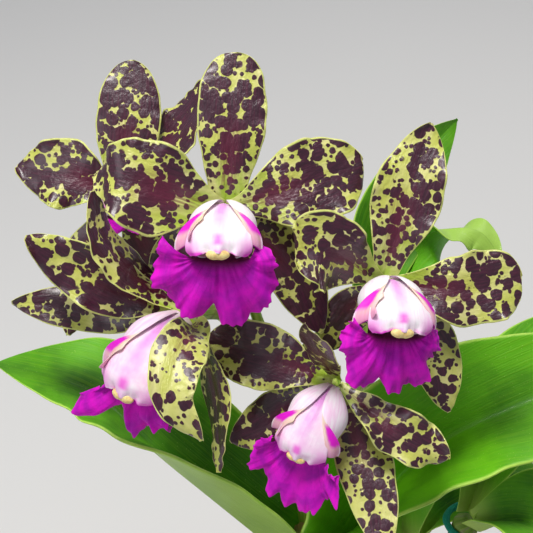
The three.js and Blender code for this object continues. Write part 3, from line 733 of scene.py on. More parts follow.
pot_mesh = turn_profile(pot_profile(), 96)
rings = [e for e in pot_mesh.edges if len(e.link_faces) == 2 and e.calc_face_angle() > 0.3]
bmesh.ops.bevel(pot_mesh, geom=rings, offset=0.9, offset_type="OFFSET", segments=3, profile=0.5,
                affect="EDGES", material=-1, clamp_overlap=True)
for face in pot_mesh.faces:
    face.smooth = True
pot = make_piece("clay_pot", pot_mesh, [fired_clay], ["pot"])
print("pot faces", len(pot.data.polygons))

# %% [markdown]
# ## Drainage holes
#
# Water has to leave the pot, so three round holes go through its floor. They could be
# modelled into the floor, but its faces are long thin wedges. Subtracting three short
# cylinders is simpler, and the result is then kept as the pot's own mesh.

# %% Cut the drainage holes
DRAIN = {"count": 3, "radius": 5, "fromCentre": 26}


def drain_cutter():
    bm = bmesh.new()
    for k in range(DRAIN["count"]):
        angle = TAU * k / DRAIN["count"]
        hole = bmesh.ops.create_cone(bm, cap_ends=True, segments=32, radius1=DRAIN["radius"],
                                     radius2=DRAIN["radius"], depth=3 * POT["floor"])["verts"]
        x, y = DRAIN["fromCentre"] * math.cos(angle), DRAIN["fromCentre"] * math.sin(angle)
        bmesh.ops.translate(bm, vec=(x, y, POT["floor"] / 2), verts=hole)
    bmesh.ops.scale(bm, vec=(MILLIMETRE,) * 3, verts=bm.verts[:])
    mesh = bpy.data.meshes.new("drain cutter")
    bm.to_mesh(mesh)
    bm.free()
    cutter = bpy.data.objects.new("drain cutter", mesh)
    bpy.context.scene.collection.objects.link(cutter)
    return cutter


def cut_with(piece, cutter):
    """Subtracts the cutter, keeps the result as the piece's own mesh, and removes the cutter."""
    boolean = piece.modifiers.new("holes", "BOOLEAN")
    boolean.operation, boolean.solver, boolean.object = "DIFFERENCE", "EXACT", cutter
    bpy.context.view_layer.update()
    finished = bpy.data.meshes.new_from_object(piece.evaluated_get(bpy.context.evaluated_depsgraph_get()))
    piece.modifiers.clear()
    piece.data = finished
    bpy.data.objects.remove(cutter)


cut_with(pot, drain_cutter())
print("pot faces with the holes", len(pot.data.polygons))

# %% [markdown]
# ## Bark
#
# The pot is filled with chips of bark. Only the top layer can be seen, so a rough mound
# closes the pot, and about a hundred chips lie on it at all angles. A chip is a cube that
# was stretched, subdivided and roughened with noise, so that no two are alike.

# %% Fill the pot with bark
BARK = {"level": 116, "chips": 110, "chipLength": 26, "chipThickness": 6, "seed": 7}


def inner_radius(z):
    shoulder = POT["height"] - POT["band"]
    low, high = POT["footRadius"] - POT["wall"], POT["shoulderRadius"] - POT["wall"]
    return mix(low, high, min((z - POT["floor"]) / (shoulder - POT["floor"]), 1.0))


def add_chip(bm, draw, place, length):
    chip = bmesh.ops.create_cube(bm, size=1.0)["verts"]
    edges = list({e for c in chip for e in c.link_edges})
    bmesh.ops.subdivide_edges(bm, edges=edges, cuts=2, use_grid_fill=True)
    chip = [c for c in bm.verts if not c.tag]
    size = Vector((length, length * draw.uniform(0.45, 0.8), BARK["chipThickness"] * draw.uniform(0.6, 1.0)))
    shift = Vector([draw.uniform(0, 90) for _ in range(3)])
    turn = Matrix.Rotation(draw.uniform(0, TAU), 3, "Z")
    turn = turn @ Matrix.Rotation(math.radians(draw.uniform(-24, 24)), 3, "Y")
    turn = turn @ Matrix.Rotation(math.radians(draw.uniform(-24, 24)), 3, "X")
    own = draw.random()
    tone = bm.verts.layers.float["tone"]
    for corner in chip:
        rough = Vector([noise.noise(corner.co * 2.4 + shift + Vector((k * 9, 0, 0))) for k in range(3)])
        local = Vector([c * s for c, s in zip(corner.co + rough * 0.28, size)])
        corner.co = turn @ local + place
        corner[tone] = own
        corner.tag = True


def mound(u, v):
    angle = v * math.pi
    radius = (inner_radius(BARK["level"]) - 0.6) * min(u * 1.12, 1.0)
    x, y = radius * math.cos(angle), radius * math.sin(angle)
    height = BARK["level"] - 1.5 + 1.6 * noise.noise(Vector((x, y, 3)) * 0.14)
    if u > 0.9:
        height = mix(height, BARK["level"] - 40, smooth((u - 0.9) / 0.1))
        radius = inner_radius(height) - 0.6
    return Vector((radius * math.cos(angle), radius * math.sin(angle), height)), (radius, angle * 30)


bark_mesh = start_mesh()
add_grid(bark_mesh, mound, 26, 72)
close_seams(bark_mesh)
for corner in bark_mesh.verts:
    corner.tag = True
draw = random.Random(BARK["seed"])
for k in range(BARK["chips"]):
    length = BARK["chipLength"] * draw.uniform(0.45, 0.95)
    reach = inner_radius(BARK["level"]) - length / 2 - 1.0
    radius = reach * math.sqrt((k + 0.5) / BARK["chips"])
    angle = k * math.pi * (3 - math.sqrt(5))
    height = BARK["level"] + draw.uniform(-1.0, 3.4)
    place = Vector((radius * math.cos(angle), radius * math.sin(angle), height))
    add_chip(bark_mesh, draw, place, length)
bark = make_piece("bark_chips", bark_mesh, [rough_bark], ["bark"])
print("bark faces", len(bark.data.polygons))

# %% [markdown]
# ## Tubes
#
# Roots, canes, stems and the tie are round in section and follow a curve. The same bent
# grid makes them: u runs along the curve, v goes round it, and the radius changes on the
# way. Where the radius falls to nothing the end closes, and merging the doubles closes
# the seam.

# %% A tube along a curve
def tube_surface(route, radius, lobed=None):
    """radius(t) in millimetres, lobed(t, angle) a factor on it, near 1."""
    guide = Vector((0.13, 0.21, 0.97)).normalized()
    long = route.length()
    frames = {}

    def frame_at(u):
        if u not in frames:
            heading = route.heading(u)
            right = heading.cross(guide).normalized()
            frames[u] = (route.at(u), right, right.cross(heading), radius(u))
        return frames[u]

    def surface(u, v):
        centre, right, up, size = frame_at(u)
        angle = v * math.pi
        reach = size * (lobed(u, angle) if lobed else 1.0)
        return centre + reach * (right * math.cos(angle) + up * math.sin(angle)), (reach * angle, u * long)

    return surface


def capped(radius, cap=0.03):
    """The same radius with both ends drawn in to a rounded cap."""
    def closed(t):
        inside = min(t, 1 - t) / cap
        return radius(t) * math.sqrt(max(1 - (1 - min(inside, 1)) ** 2, 0.0))

    return closed


print("a capped tube of radius 1 ends at", capped(lambda t: 1.0)(0.0))

# %% [markdown]
# ## Canes
#
# Each cane stores water, so it swells in its middle. It has a raised ring at each joint,
# where a papery bract was, and shallow ribs where it has shrunk a little. A tube whose
# radius changes along its length gives all of that in one grid, and a loop over a table
# of feet and tops grows all five.

# %% Grow the canes
CANES = {
    "lead": {"foot": [4, -24, 112], "top": [10, -30, 274], "girth": [5.2, 8.6, 6.0]},
    "back": {"foot": [24, 14, 112], "top": [36, 52, 318], "girth": [5.0, 8.0, 5.0]},
    "right": {"foot": [44, -20, 112], "top": [74, -14, 284], "girth": [5.0, 8.2, 5.2]},
    "short": {"foot": [50, 10, 112], "top": [56, 2, 252], "girth": [5.0, 8.4, 5.2]},
    "old": {"foot": [0, 26, 112], "top": [-6, 36, 196], "girth": [5.4, 9.2, 5.0]},
}
CANE_RINGS = 3


def cane_radius(girth, long):
    base, belly, neck = girth

    def radius(t):
        size = mix(base, belly, smooth(t / 0.6)) - (belly - neck) * smooth((t - 0.6) / 0.4)
        for k in range(1, CANE_RINGS + 1):
            away = (t - k / (CANE_RINGS + 1)) * long / 1.5
            size += 0.8 * math.exp(-away * away)
        return size

    return radius


def cane_ribs(t, angle):
    return 1 + 0.025 * math.sin(9 * angle + 3 * t) * smooth(t * 8)


for name, cane in CANES.items():
    route = Route([cane["foot"], (Vector(cane["foot"]) + Vector(cane["top"])) / 2, cane["top"]])
    radius = capped(cane_radius(cane["girth"], route.length()), 0.012)
    cane_mesh = start_mesh()
    add_grid(cane_mesh, tube_surface(route, radius, cane_ribs), 90, 40)
    close_seams(cane_mesh)
    bmesh.ops.recalc_face_normals(cane_mesh, faces=cane_mesh.faces[:])
    make_piece(f"cane_{name}_grown", cane_mesh, [cane_skin], [f"cane_{name}"])
print("canes", len(CANES))

# %% [markdown]
# ## Rhizome and roots
#
# A cattleya creeps: a woody rhizome runs over the bark and sends up one cane after
# another. Thick silver roots leave it and dive into the bark. They are tubes as well, and
# their kept tone tells the finish to paint them silver instead of brown.

# %% Lay the rhizome and its roots
RHIZOME = {
    "route": [[-14, 36], [8, 30], [30, 22], [42, 10], [40, -8], [34, -22], [14, -30], [-10, -28]],
    "radius": 4, "roots": 5, "rootRadius": 1.8,
}


def rhizome_radius(t):
    return RHIZOME["radius"] * (1 + 0.09 * math.sin(t * 150) + 0.05 * math.sin(t * 61))


def grow_roots():
    lift = BARK["level"] + 4
    crawl = [(x, y, lift) for x, y in RHIZOME["route"]]
    bm = start_mesh()
    add_grid(bm, tube_surface(Route(crawl), capped(rhizome_radius)), 150, 20)
    draw = random.Random(RHIZOME["roots"])
    for k in range(RHIZOME["roots"] * 3):
        start = Vector(crawl[k % (len(crawl) - 2) + 1])
        angle = draw.uniform(0, TAU)
        toward = Vector((math.cos(angle), math.sin(angle), 0))
        middle = start + toward * draw.uniform(7, 10) + Vector((0, 0, 2.5))
        tip = start + toward * draw.uniform(14, 19)
        tip.z = BARK["level"] - 5
        width = RHIZOME["rootRadius"] * draw.uniform(0.6, 1.0)
        bend = tube_surface(Route([start, middle, tip]), capped(lambda t: width * (1 - 0.25 * t)))
        add_grid(bm, bend, 24, 12, patch=k, tone=1.0)
    close_seams(bm)
    bmesh.ops.recalc_face_normals(bm, faces=bm.faces[:])
    return make_piece("rhizome_and_silver_roots", bm, [root_skin], ["rhizome_and_roots"])


print("roots faces", len(grow_roots().data.polygons))

# %% [markdown]
# ## Blades
#
# A leaf, a petal and a sepal are the same kind of thing: a blade that follows a curve,
# narrow at its foot, widest past its middle, and rounded at its tip. It can cup, ripple
# at its margins, turn about its own length and fold along its midrib. The same rule made
# the solid blade; here finer frills, a grooved midrib and a slightly uneven outline are
# added to it.

# %% The surface of one blade
TIP_HALF = 0.8


def blade_surface(points, face, shape, seed, frill, uneven):
    route = Route(points)
    start, end = (Vector(look).normalized() for look in face)
    roll, fold = shape.get("roll", [0, 0]), shape.get("fold", [0, 0])
    long = route.length()
    rows = {}

    def row(u):
        if u in rows:
            return rows[u]
        t = 1 - (1 - u) ** 1.3
        tangent = route.heading(t)
        side = tangent.cross(start.lerp(end, t)).normalized()
        side.rotate(Matrix.Rotation(math.radians(along(roll, t)), 3, tangent))
        normal = side.cross(tangent)
        grown = shape["foot"] + (1 - shape["foot"]) * smooth(t / shape["claw"])
        past = max((t - shape["shoulder"]) / (1 - shape["shoulder"]), 0)
        half = shape["width"] / 2 * grown * (1 - past ** shape["power"]) ** shape["round"]
        crease = math.radians(along(fold, t))
        rows[u] = (t, route.at(t), side, normal, max(half, TIP_HALF), crease)
        return rows[u]

    def surface(u, v):
        t, centre, side, normal, half, crease = row(u)
        edge, hand = abs(v), (1 if v > 0 else -1 if v < 0 else 0)
        half *= 1 + uneven * edge * noise.noise(Vector((t * 7, hand * 3 + seed, 0)))
        ripple = shape["wave"] * edge ** 2.2 * smooth(t * 2.5)
        ripple *= math.sin(TAU * shape["waves"] * t + 1.9 * hand)
        fine = frill * edge ** 5 * smooth(t * 2) * noise.noise(Vector((t * 16, hand * 5 + seed, 2))) * 2
        groove = shape["groove"] * (1 - edge) ** 3 * smooth((1 - t) * 4)
        rise = shape["cup"] * half * v * v - groove + ripple + fine + edge * half * math.sin(crease)
        point = centre + side * (v * half * math.cos(crease)) + normal * rise
        return point, (v * half, t * long)

    return surface


print("no blade is narrower than", 2 * TIP_HALF, "mm at its tip")

# %% [markdown]
# ## Leaves
#
# The leaves are thick and stiff. Each is folded at its foot, opens along its length, and
# shows its paler back where the near half stands up. What they share is in one table,
# and a second one gives each leaf its path, its width, the way its face looks at foot and
# tip, and how far it is folded, in degrees at even steps along it.

# %% Measures of the leaves
LEAF = {
    "foot": 0.34, "claw": 0.45, "shoulder": 0.42, "power": 1.9, "round": 0.85,
    "cup": 0.12, "groove": 1.2, "fold": [60, 34, 8, 8, 8], "waves": 1.5,
}
LEAVES = {
    "lead_left": {
        "path": [[6, -31, 276], [-8, -28, 291], [-44, -17, 323], [-73, -2, 343.5], [-107, -1, 356]],
        "face": [[0.4, 0.1, 1], [0, 0.1, 1]], "width": 58, "wave": 1.2,
        "shoulder": 0.6, "power": 1.6, "round": 0.8, "fold": [62, 62, 56, 50, 42, 29, 13, 2, 0],
    },
    "lead_right": {
        "path": [[14, -31, 276], [26, -28, 290], [54, -12, 319], [94, -2, 339], [146, 7, 356]],
        "face": [[-0.3, -0.3, 0.95], [0, -0.5, 0.85]], "width": 72, "wave": 1.0,
        "fold": [80, 80, 78, 60, 46, 34, 17, 10, 6],
    },
    "back_up": {
        "path": [[34, 52, 318], [37, 62, 345], [45, 74, 369], [57, 86, 388], [72, 96, 402]],
        "face": [[0.2, -1, 0.4], [0.2, -1, 0.5]], "width": 33, "wave": 0.8,
    },
    "back_right": {
        "path": [[40.5, 51, 317], [45, 62, 342], [56, 66, 362], [70, 66, 367], [81, 64, 367], [89, 57, 360]],
        "face": [[-0.2, -1, 0.6], [0, -1, 0.6]], "width": 26, "wave": 0.8, "roll": [0, 0, 20, 90, 150, 170],
    },
    "right_up": {
        "path": [[74.5, -9.5, 283], [84, 4, 306], [96, 22, 320], [112, 40, 328], [130, 54, 330]],
        "face": [[-0.2, -0.6, 0.8], [0, -0.3, 1]], "width": 44, "wave": 1.0,
    },
    "right_front": {
        "path": [[77, -18.5, 283], [88, -26, 298], [104, -36, 303], [124, -48, 298], [144, -58, 284]],
        "face": [[-0.4, 0.2, 1], [0.1, -0.1, 1]], "width": 44, "wave": 1.0,
    },
    "short_left": {
        "path": [[52.5, 2, 251], [50, 6, 276], [52, 16, 296], [54, 34, 308], [52, 54, 300]],
        "face": [[0.2, -1, 0.3], [0, -0.4, 1]], "width": 38, "wave": 0.8,
    },
    "short_right": {
        "path": [[60, 3, 251], [72, 8, 266], [90, 10, 272], [112, 8, 266], [134, 2, 250]],
        "face": [[-0.5, -0.2, 1], [0, 0, 1]], "width": 42, "wave": 1.0,
    },
}

print("leaves from", min(leaf["width"] for leaf in LEAVES.values()), "to",
      max(leaf["width"] for leaf in LEAVES.values()), "mm wide")

# %% [markdown]
# ## Growing the leaves
#
# A leaf is one blade with a thin wall that its rim rounds off. A young leaf is brighter
# than an old one, so each has its own tone. The margin is almost straight, with the
# faintest frill, because a leaf this thick can't ruffle as a petal does.

# %% Grow the leaves
LEAF_TONES = {"lead_left": 0.1, "lead_right": 0.45, "back_right": 0.7, "right_up": 0.2, "short_left": 0.9}
LEAF_MARGIN = {"frill": 0.35, "uneven": 0.03}
LEAF_WALL = 1.5

for index, (name, leaf) in enumerate(LEAVES.items()):
    shape = {**LEAF, **leaf}
    surface = blade_surface(leaf["path"], leaf["face"], shape, index, **LEAF_MARGIN)
    leaf_mesh = start_mesh()
    add_grid(leaf_mesh, surface, 64, 22, patch=index, tone=LEAF_TONES.get(name, 0.0))
    blade = make_piece(f"leaf_{name}_grown", leaf_mesh, [leaf_face, leaf_back, leaf_rim],
                       [f"leaf_{name}"])
    thicken(blade, LEAF_WALL)
print("leaves", len(LEAVES))

# %% [markdown]
# ## What petals and sepals share
#
# Sepals are narrow and plain, and petals are broader with waved margins. A few named
# shapes hold what they share: how narrow the foot is, where along the blade it has grown
# to its full width ("claw") and starts to narrow ("shoulder"), how blunt the tip is
# ("power" and "round"), and how the blade cups and ripples.

# %% Shared shapes of petals and sepals
SEPAL = {
    "foot": 0.36, "claw": 0.5, "shoulder": 0.5, "power": 1.8, "round": 0.7,
    "cup": -0.1, "groove": 0.5, "wave": 0.7, "waves": 2,
}
ROUND_SEPAL = {**SEPAL, "foot": 0.5, "claw": 0.55, "shoulder": 0.52, "power": 2.4, "round": 0.5}
PETAL = {
    "foot": 0.2, "claw": 0.55, "shoulder": 0.6, "power": 2.3, "round": 0.52,
    "cup": 0.05, "groove": 0.7, "wave": 1.6, "waves": 2.6,
}
BLUNT_PETAL = {**PETAL, "shoulder": 0.66, "power": 3, "round": 0.45}
POINTED_PETAL = {**PETAL, "shoulder": 0.55, "power": 1.7, "round": 0.7}
print("a petal's foot is", PETAL["foot"], "and a sepal's", SEPAL["foot"], "of its width")

# %% [markdown]
# ## The five blooms
#
# Every bloom has a heart, three sepals and two petals that spring from it, and a lip. The
# first point of each path is next to the heart, and all are measured from it along right,
# up and out of the view. A lip looks along "out" with its top towards "top". Its reach is
# how far the apron spreads at even steps round its margin, and its lift is the angle by
# which the apron stands away from its own plane there. A blade faces the viewer unless it
# names another face, and "roll" turns it about its own length, in degrees.

# %% The blooms
BLOOMS = {
    "a": {
        "heart": [-13.5, 18.8, 14],
        "lip": {
            "out": [-0.05, -0.36, 0.93], "top": [0, 1, 0.3],
            "reach": [19, 21.5, 23.5, 22, 22, 23.5, 21.5, 17.5, 13], "lift": [8, 4],
        },
        "tepals": {
            "dorsal": {
                "like": ROUND_SEPAL, "width": 23, "shoulder": 0.56, "power": 3.2, "round": 0.42,
                "path": [[0, 1, -0.9], [1.8, 26, 5], [3, 52, 4]],
            },
            "petal_right": {
                "like": PETAL, "width": 29,
                "path": [[1, 0.5, -0.6], [24, 7.5, 3], [46, 16.5, -5]],
            },
            "petal_left": {
                "like": PETAL, "claw": 0.38, "shoulder": 0.42, "power": 1.7, "round": 0.7, "width": 31,
                "path": [[-1, 0.5, -0.6], [-19.3, 5.5, 9], [-34.6, 10, 11], [-43.2, 11.5, 2]],
            },
            "sepal_right": {
                "like": SEPAL, "width": 21,
                "path": [[1, -1, -1.2], [20, -17, -9], [33, -42, -17]],
            },
            "sepal_left": {
                "like": SEPAL, "width": 18,
                "path": [[-1, -1, -1.2], [-16, -14, -11], [-28, -30, -23]],
            },
        },
    },
    "b": {
        "heart": [39.4, -5.9, 8],
        "lip": {
            "out": [0.12, -0.36, 0.93], "top": [0.1, 1, 0.3],
            "reach": [16, 17.5, 19.5, 22, 20, 21, 17, 14.5, 12], "lift": [8, 4],
        },
        "tepals": {
            "dorsal": {
                "like": POINTED_PETAL, "width": 24.5, "foot": 0.34,
                "path": [[0, 1, -0.9], [7, 27, 5], [16, 54, 4]],
            },
            "petal_right": {
                "like": BLUNT_PETAL, "width": 25,
                "path": [[1, 0.5, -0.6], [25.5, -2, 3], [47, 2, 0]],
            },
            "petal_left": {
                "like": PETAL, "width": 27,
                "path": [[-1, 0.8, -0.5], [-12, 8, 10], [-22, 11, 18], [-30, 9, 15]],
            },
            "sepal_left": {
                "like": SEPAL, "width": 16,
                "path": [[-1, -1, -1.2], [-11, -10, -9], [-19, -24, -15]],
            },
            "sepal_right": {
                "like": SEPAL, "width": 19.5,
                "path": [[1, -1, -1.2], [17, -21, -9], [24.5, -45, -13]],
            },
        },
    },
    "c": {
        "heart": [-26.7, -15.8, 6],
        "lip": {
            "out": [-0.56, -0.64, 0.52], "top": [-0.09, 0.67, 0.73], "size": 1.14,
            "reach": [6, 10, 24, 12, 18, 12, 17, 10, 6], "lift": [45, 45, 32, 30, 20],
        },
        "tepals": {
            "dorsal": {
                "like": SEPAL, "width": 19, "roll": [50, 60],
                "path": [[-0.5, 1.6, -0.8], [-14, 10, 0], [-27, 24, 7], [-31, 41, 10]],
            },
            "petal_left": {
                "like": POINTED_PETAL, "width": 22, "wave": 2.4,
                "path": [[-1, 1, -1.5], [-26, 9, -1], [-54, 25.5, 8]],
            },
            "sepal_left": {
                "like": SEPAL, "width": 18, "wave": 1.8,
                "path": [[-1, -0.5, -2.1], [-31, 1, -13], [-63, 3, -14]],
            },
            "petal_right": {
                "like": PETAL, "claw": 0.55, "shoulder": 0.56, "power": 1.5, "round": 0.7, "width": 18.5,
                "path": [
                    [1.2, -2, 0.8], [3.4, -3.4, 11.2], [1.4, -7, 18.8],
                    [-2.2, -15, 25], [-2.5, -27, 29], [6, -40, 25],
                ],
            },
            "sepal_right": {
                "like": SEPAL, "width": 16, "roll": [50, 60],
                "path": [[1, -1, -1.2], [9, -27, 0], [10.5, -54, 2]],
            },
        },
    },
    "d": {
        "heart": [23.4, -39.2, 10],
        "lip": {
            "out": [-0.49, -0.76, 0.46], "top": [-0.06, 0.55, 0.85], "size": 0.9,
            "reach": [14, 17, 22, 23, 30, 24, 22, 17, 12], "lift": [45, 45],
        },
        "tepals": {
            "dorsal": {
                "like": SEPAL, "width": 14, "face": [-0.5, -0.4, 0.6],
                "path": [[0, 1, -0.9], [-6, 10, 12], [-11, 21, 30]],
            },
            "petal_left": {
                "like": PETAL, "width": 23,
                "path": [[-1, 0.5, -0.9], [-22, 8, -2], [-44.3, 13.5, -9]],
            },
            "sepal_left": {
                "like": SEPAL, "width": 20,
                "path": [[-1, -1, -1.5], [-19, -13, -10], [-36, -22, -14]],
            },
            "petal_right": {
                "like": PETAL, "width": 17, "roll": [-30, 10], "wave": 2.6,
                "path": [[1, -0.5, -0.6], [18, -14, 6], [37, -25, 5]],
            },
            "sepal_right": {
                "like": SEPAL, "width": 20,
                "path": [[0.8, -1.2, -1.5], [7, -17, -5], [12, -36, 0], [16.5, -58, 6]],
            },
        },
    },
    "e": {
        "heart": [-53.7, 25.4, -32],
        "lip": {
            "out": [0.2, -0.05, 0.97], "top": [0, 1, 0.1], "size": 0.86,
            "reach": [14, 15, 17, 14, 19, 20, 20], "lift": [66, 62, 50],
        },
        "tepals": {
            "dorsal": {
                "like": ROUND_SEPAL, "width": 24.5,
                "path": [[0, 1, -0.9], [2.5, 25, 4], [3.6, 51, 2]],
            },
            "petal_left": {
                "like": POINTED_PETAL, "width": 27,
                "path": [[-1, 0.5, -0.6], [-19.3, 8.5, 1], [-40, 12.5, -5]],
            },
            "petal_right": {
                "like": PETAL, "width": 24, "roll": [-40, -50],
                "path": [[1, 0.5, -0.6], [18, 21, 3], [33.5, 42, 4]],
            },
            "sepal_left": {
                "like": SEPAL, "width": 20,
                "path": [[-1, -1, -1.2], [-15, -24, -10], [-22.5, -52, -16]],
            },
            "sepal_right": {
                "like": SEPAL, "width": 19,
                "path": [[1, -1, -1.2], [9, -23, -12], [12.5, -42, -22]],
            },
        },
    },
}
print("blades in all", sum(len(bloom["tepals"]) for bloom in BLOOMS.values()))

# %% [markdown]
# ## Flower stem
#
# One peduncle rises between the two long leaves and branches into a pedicel for each
# bloom. Behind each bloom the pedicel swells into the ovary, a ribbed club that the petals
# spring from. Each stretch is a tube, and the tubes run into one another, as one living
# stem does.

# %% Grow the flower stem
OVARY = {"radius": 2.9, "length": 13}
PEDUNCLE = [[15, -118, -55], [14, -92, -51], [8, -58, -41], [3, -33, -34]]
PEDICELS = {
    "a": [[3, -33, -34], [-3, -20, -27], [-9, -4, -12]],
    "b": [[5, -46, -37], [14, -31, -30], [30, -15, -14]],
    "c": [[3, -36, -35], [-6, -22, -26], [-17, -16, -12]],
    "d": [[8, -58, -41], [15, -52, -28], [21, -44, -10]],
    "e": [[2, -30, -35], [-22, -16, -58], [-46, 10, -56]],
}
HEART_RADIUS = 4.6
STEM_RADIUS = 2.9
PEDICEL_RADIUS = 2.0


def peduncle_radius(t):
    return STEM_RADIUS * (1.04 - 0.12 * t)


def pedicel_radius(t):
    swollen = mix(PEDICEL_RADIUS, OVARY["radius"], smooth((t - 0.5) / 0.25))
    return swollen * (1 + 0.15 * smooth((t - 0.9) / 0.1))


def ovary_ribs(t, angle):
    return 1 + 0.07 * math.cos(6 * angle) * smooth((t - 0.5) / 0.3)


def grow_stem():
    bm = start_mesh()
    peduncle = Route([in_spray(p) for p in PEDUNCLE])
    add_grid(bm, tube_surface(peduncle, capped(peduncle_radius)), 60, 18)
    for k, (name, points) in enumerate(PEDICELS.items(), start=1):
        heart = in_spray(BLOOMS[name]["heart"])
        back = (in_spray(points[-1]) - heart).normalized()
        end = heart + back * HEART_RADIUS * 0.9
        neck = end + back * OVARY["length"]
        route = Route([*[in_spray(p) for p in points[:-1]], neck, end])
        add_grid(bm, tube_surface(route, capped(pedicel_radius), ovary_ribs), 60, 24, patch=k)
    close_seams(bm)
    bmesh.ops.recalc_face_normals(bm, faces=bm.faces[:])
    return make_piece("flower_stem_grown", bm, [stem_green], ["flower_stem"])


print("stem faces", len(grow_stem().data.polygons))

# %% [markdown]
# ## Sheath
#
# The buds of this spray came up inside a green sheath that has since dried to paper. What
# is left is an open trough round the foot of the peduncle, with a torn upper edge. It is
# one bent grid with a thin wall, because paper has no other thickness to show.

# %% Wrap the sheath
SHEATH = {"length": 20, "width": 12, "wall": 0.7}


def sheath_surface():
    foot = in_spray(PEDUNCLE[0])
    axis = (in_spray(PEDUNCLE[1]) - foot).normalized()
    right = -Vector((1, 0, 0)).cross(axis).normalized()
    front = axis.cross(right).normalized()

    def surface(u, v):
        height = mix(3, SHEATH["length"], u) * (1 - 0.25 * v * v * u) + 0.4 * math.sin(13 * v) * u
        angle = v * math.radians(mix(165, 120, u))
        radius = mix(5.2, SHEATH["width"] / 2, math.sin(u * math.pi * 0.8)) * mix(1, 0.7, u * u)
        radius += 0.12 * math.sin(angle * 15) * u
        around = front * (radius * math.sin(angle)) - right * (radius * 0.8 * math.cos(angle))
        return foot + axis * height + around, (radius * angle, height)

    return surface


sheath_mesh = start_mesh()
add_grid(sheath_mesh, sheath_surface(), 24, 60)
sheath = make_piece("flower_sheath_grown", sheath_mesh, [papery_sheath], ["flower_sheath"])
thicken(sheath, SHEATH["wall"], 1)
print("sheath faces", len(sheath.data.polygons))

# %% [markdown]
# ## The tie
#
# A soft teal loop goes round the right-hand cane. It is a tube on an ellipse, a little
# uneven, as a tied strip of fabric is.

# %% Tie the cane
TIE = {"centre": [83, -13, 279], "semi": [17, 12], "radius": 1.4, "tilt": 6}


def tie_surface(u, v):
    angle, round_angle = u * TAU, v * math.pi
    wander = 1 + 0.03 * math.sin(3 * angle)
    out = Vector((math.cos(angle), math.sin(angle), 0))
    x, y = TIE["semi"][0] * out.x * wander, TIE["semi"][1] * out.y * wander
    centre = Vector(TIE["centre"]) + Vector((x, y, -x * math.tan(math.radians(TIE["tilt"]))))
    size = TIE["radius"] * (1 + 0.06 * math.sin(9 * angle))
    point = centre + out * (size * math.cos(round_angle)) + Vector((0, 0, size * math.sin(round_angle) * 1.1))
    return point, (size * round_angle, u * 90)


tie_mesh = start_mesh()
add_grid(tie_mesh, tie_surface, 120, 16)
close_seams(tie_mesh)
bmesh.ops.recalc_face_normals(tie_mesh, faces=tie_mesh.faces[:])
tie = make_piece("cane_tie_soft", tie_mesh, [soft_tie], ["cane_tie"])
print("tie faces", len(tie.data.polygons))

# %% [markdown]
# ## Petals and sepals of the five blooms
#
# A bloom has three narrow sepals behind and two broader petals before them, and all of
# them are one piece. Their margins are frilled and a little uneven, petals more than
# sepals. How closely the blotches crowd differs from blade to blade, so each blade keeps
# its own number for it, which the finish reads as its tone.

# %% Unfold the petals
CROWDING = {
    "a": {"dorsal": 0.12, "petal_left": 0.09, "petal_right": 0.08, "sepal_right": 0.16, "sepal_left": 0.16},
    "b": {"dorsal": 0.06, "petal_left": 0.1, "petal_right": 0.08, "sepal_left": 0.14},
    "c": {"dorsal": 0.12, "petal_left": 0.15, "sepal_left": 0.08, "petal_right": -0.05, "sepal_right": 0.12},
    "d": {"petal_left": 0.15, "dorsal": 0.2, "sepal_left": 0.12, "petal_right": 0.08, "sepal_right": 0.02},
    "e": {"dorsal": 0.17, "petal_left": 0.17, "petal_right": 0.2, "sepal_left": 0.16, "sepal_right": 0.16},
}

PETAL_MARGIN = {"frill": 1.3, "uneven": 0.09}
SEPAL_MARGIN = {"frill": 0.6, "uneven": 0.06}
PETAL_WALL = 0.9

for index, (name, bloom) in enumerate(BLOOMS.items()):
    petals_mesh = start_mesh()
    for k, (blade_name, tepal) in enumerate(bloom["tepals"].items()):
        shape = {**tepal["like"], **tepal}
        look = spray_direction(tepal.get("face", [0, 0, 1]))
        heart = Vector(bloom["heart"])
        points = [in_spray(heart + Vector(offset)) for offset in tepal["path"]]
        margin = PETAL_MARGIN if "petal" in blade_name else SEPAL_MARGIN
        surface = blade_surface(points, (look, look), shape, 10 * index + k, **margin)
        add_grid(petals_mesh, surface, 44, 20, patch=5 * index + k, tone=CROWDING[name].get(blade_name, 0.0))
    petals = make_piece(f"bloom_{name}_petals", petals_mesh, [petal_face, petal_back, petal_margin],
                        [f"bloom_{name}_tepals"])
    thicken(petals, PETAL_WALL)
print("blooms", len(BLOOMS))

# %% [markdown]
# ## The lip's own frame
#
# Every bloom holds its lip at its own angle, and some lips are larger than others. So the
# parts of a lip are drawn once, along right, top and out from the bloom's heart, and one
# function puts such a point in its place on the plant.

# %% Frame of a lip
def lip_frame(bloom):
    lip = bloom["lip"]
    out = spray_direction(lip["out"])
    right = spray_direction(lip["top"]).cross(out).normalized()
    top = out.cross(right).normalized()
    heart, size = in_spray(bloom["heart"]), lip.get("size", 1)

    def place(x, y, z):
        return heart + (right * x + top * y + out * z) * size

    return place


print("the first lip starts at", lip_frame(BLOOMS["a"])(0, 0, 0))

# %% [markdown]
# ## Column and anther cap
#
# The column is a broad hood over the lip's throat. It widens to a scalloped front, has a
# low ridge down its middle and droops towards its sides, all of which one bent grid
# gives. The anther cap hangs under its front. It is a small cushion with a cleft, so it
# starts as a ball and is pressed flat.

# %% Shape the column and its anther cap
COLUMN = {
    "path": [[0, 2, 2], [0, 5.6, 11], [0, 5.4, 21], [0, 1.6, 30], [0, -3, 33]],
    "width": 18.5, "foot": 0.3, "arch": 0.3, "wall": 1.6,
}
ANTHER = {"place": [0, -3.8, 32.2], "size": [3.8, 1.8, 1.8]}


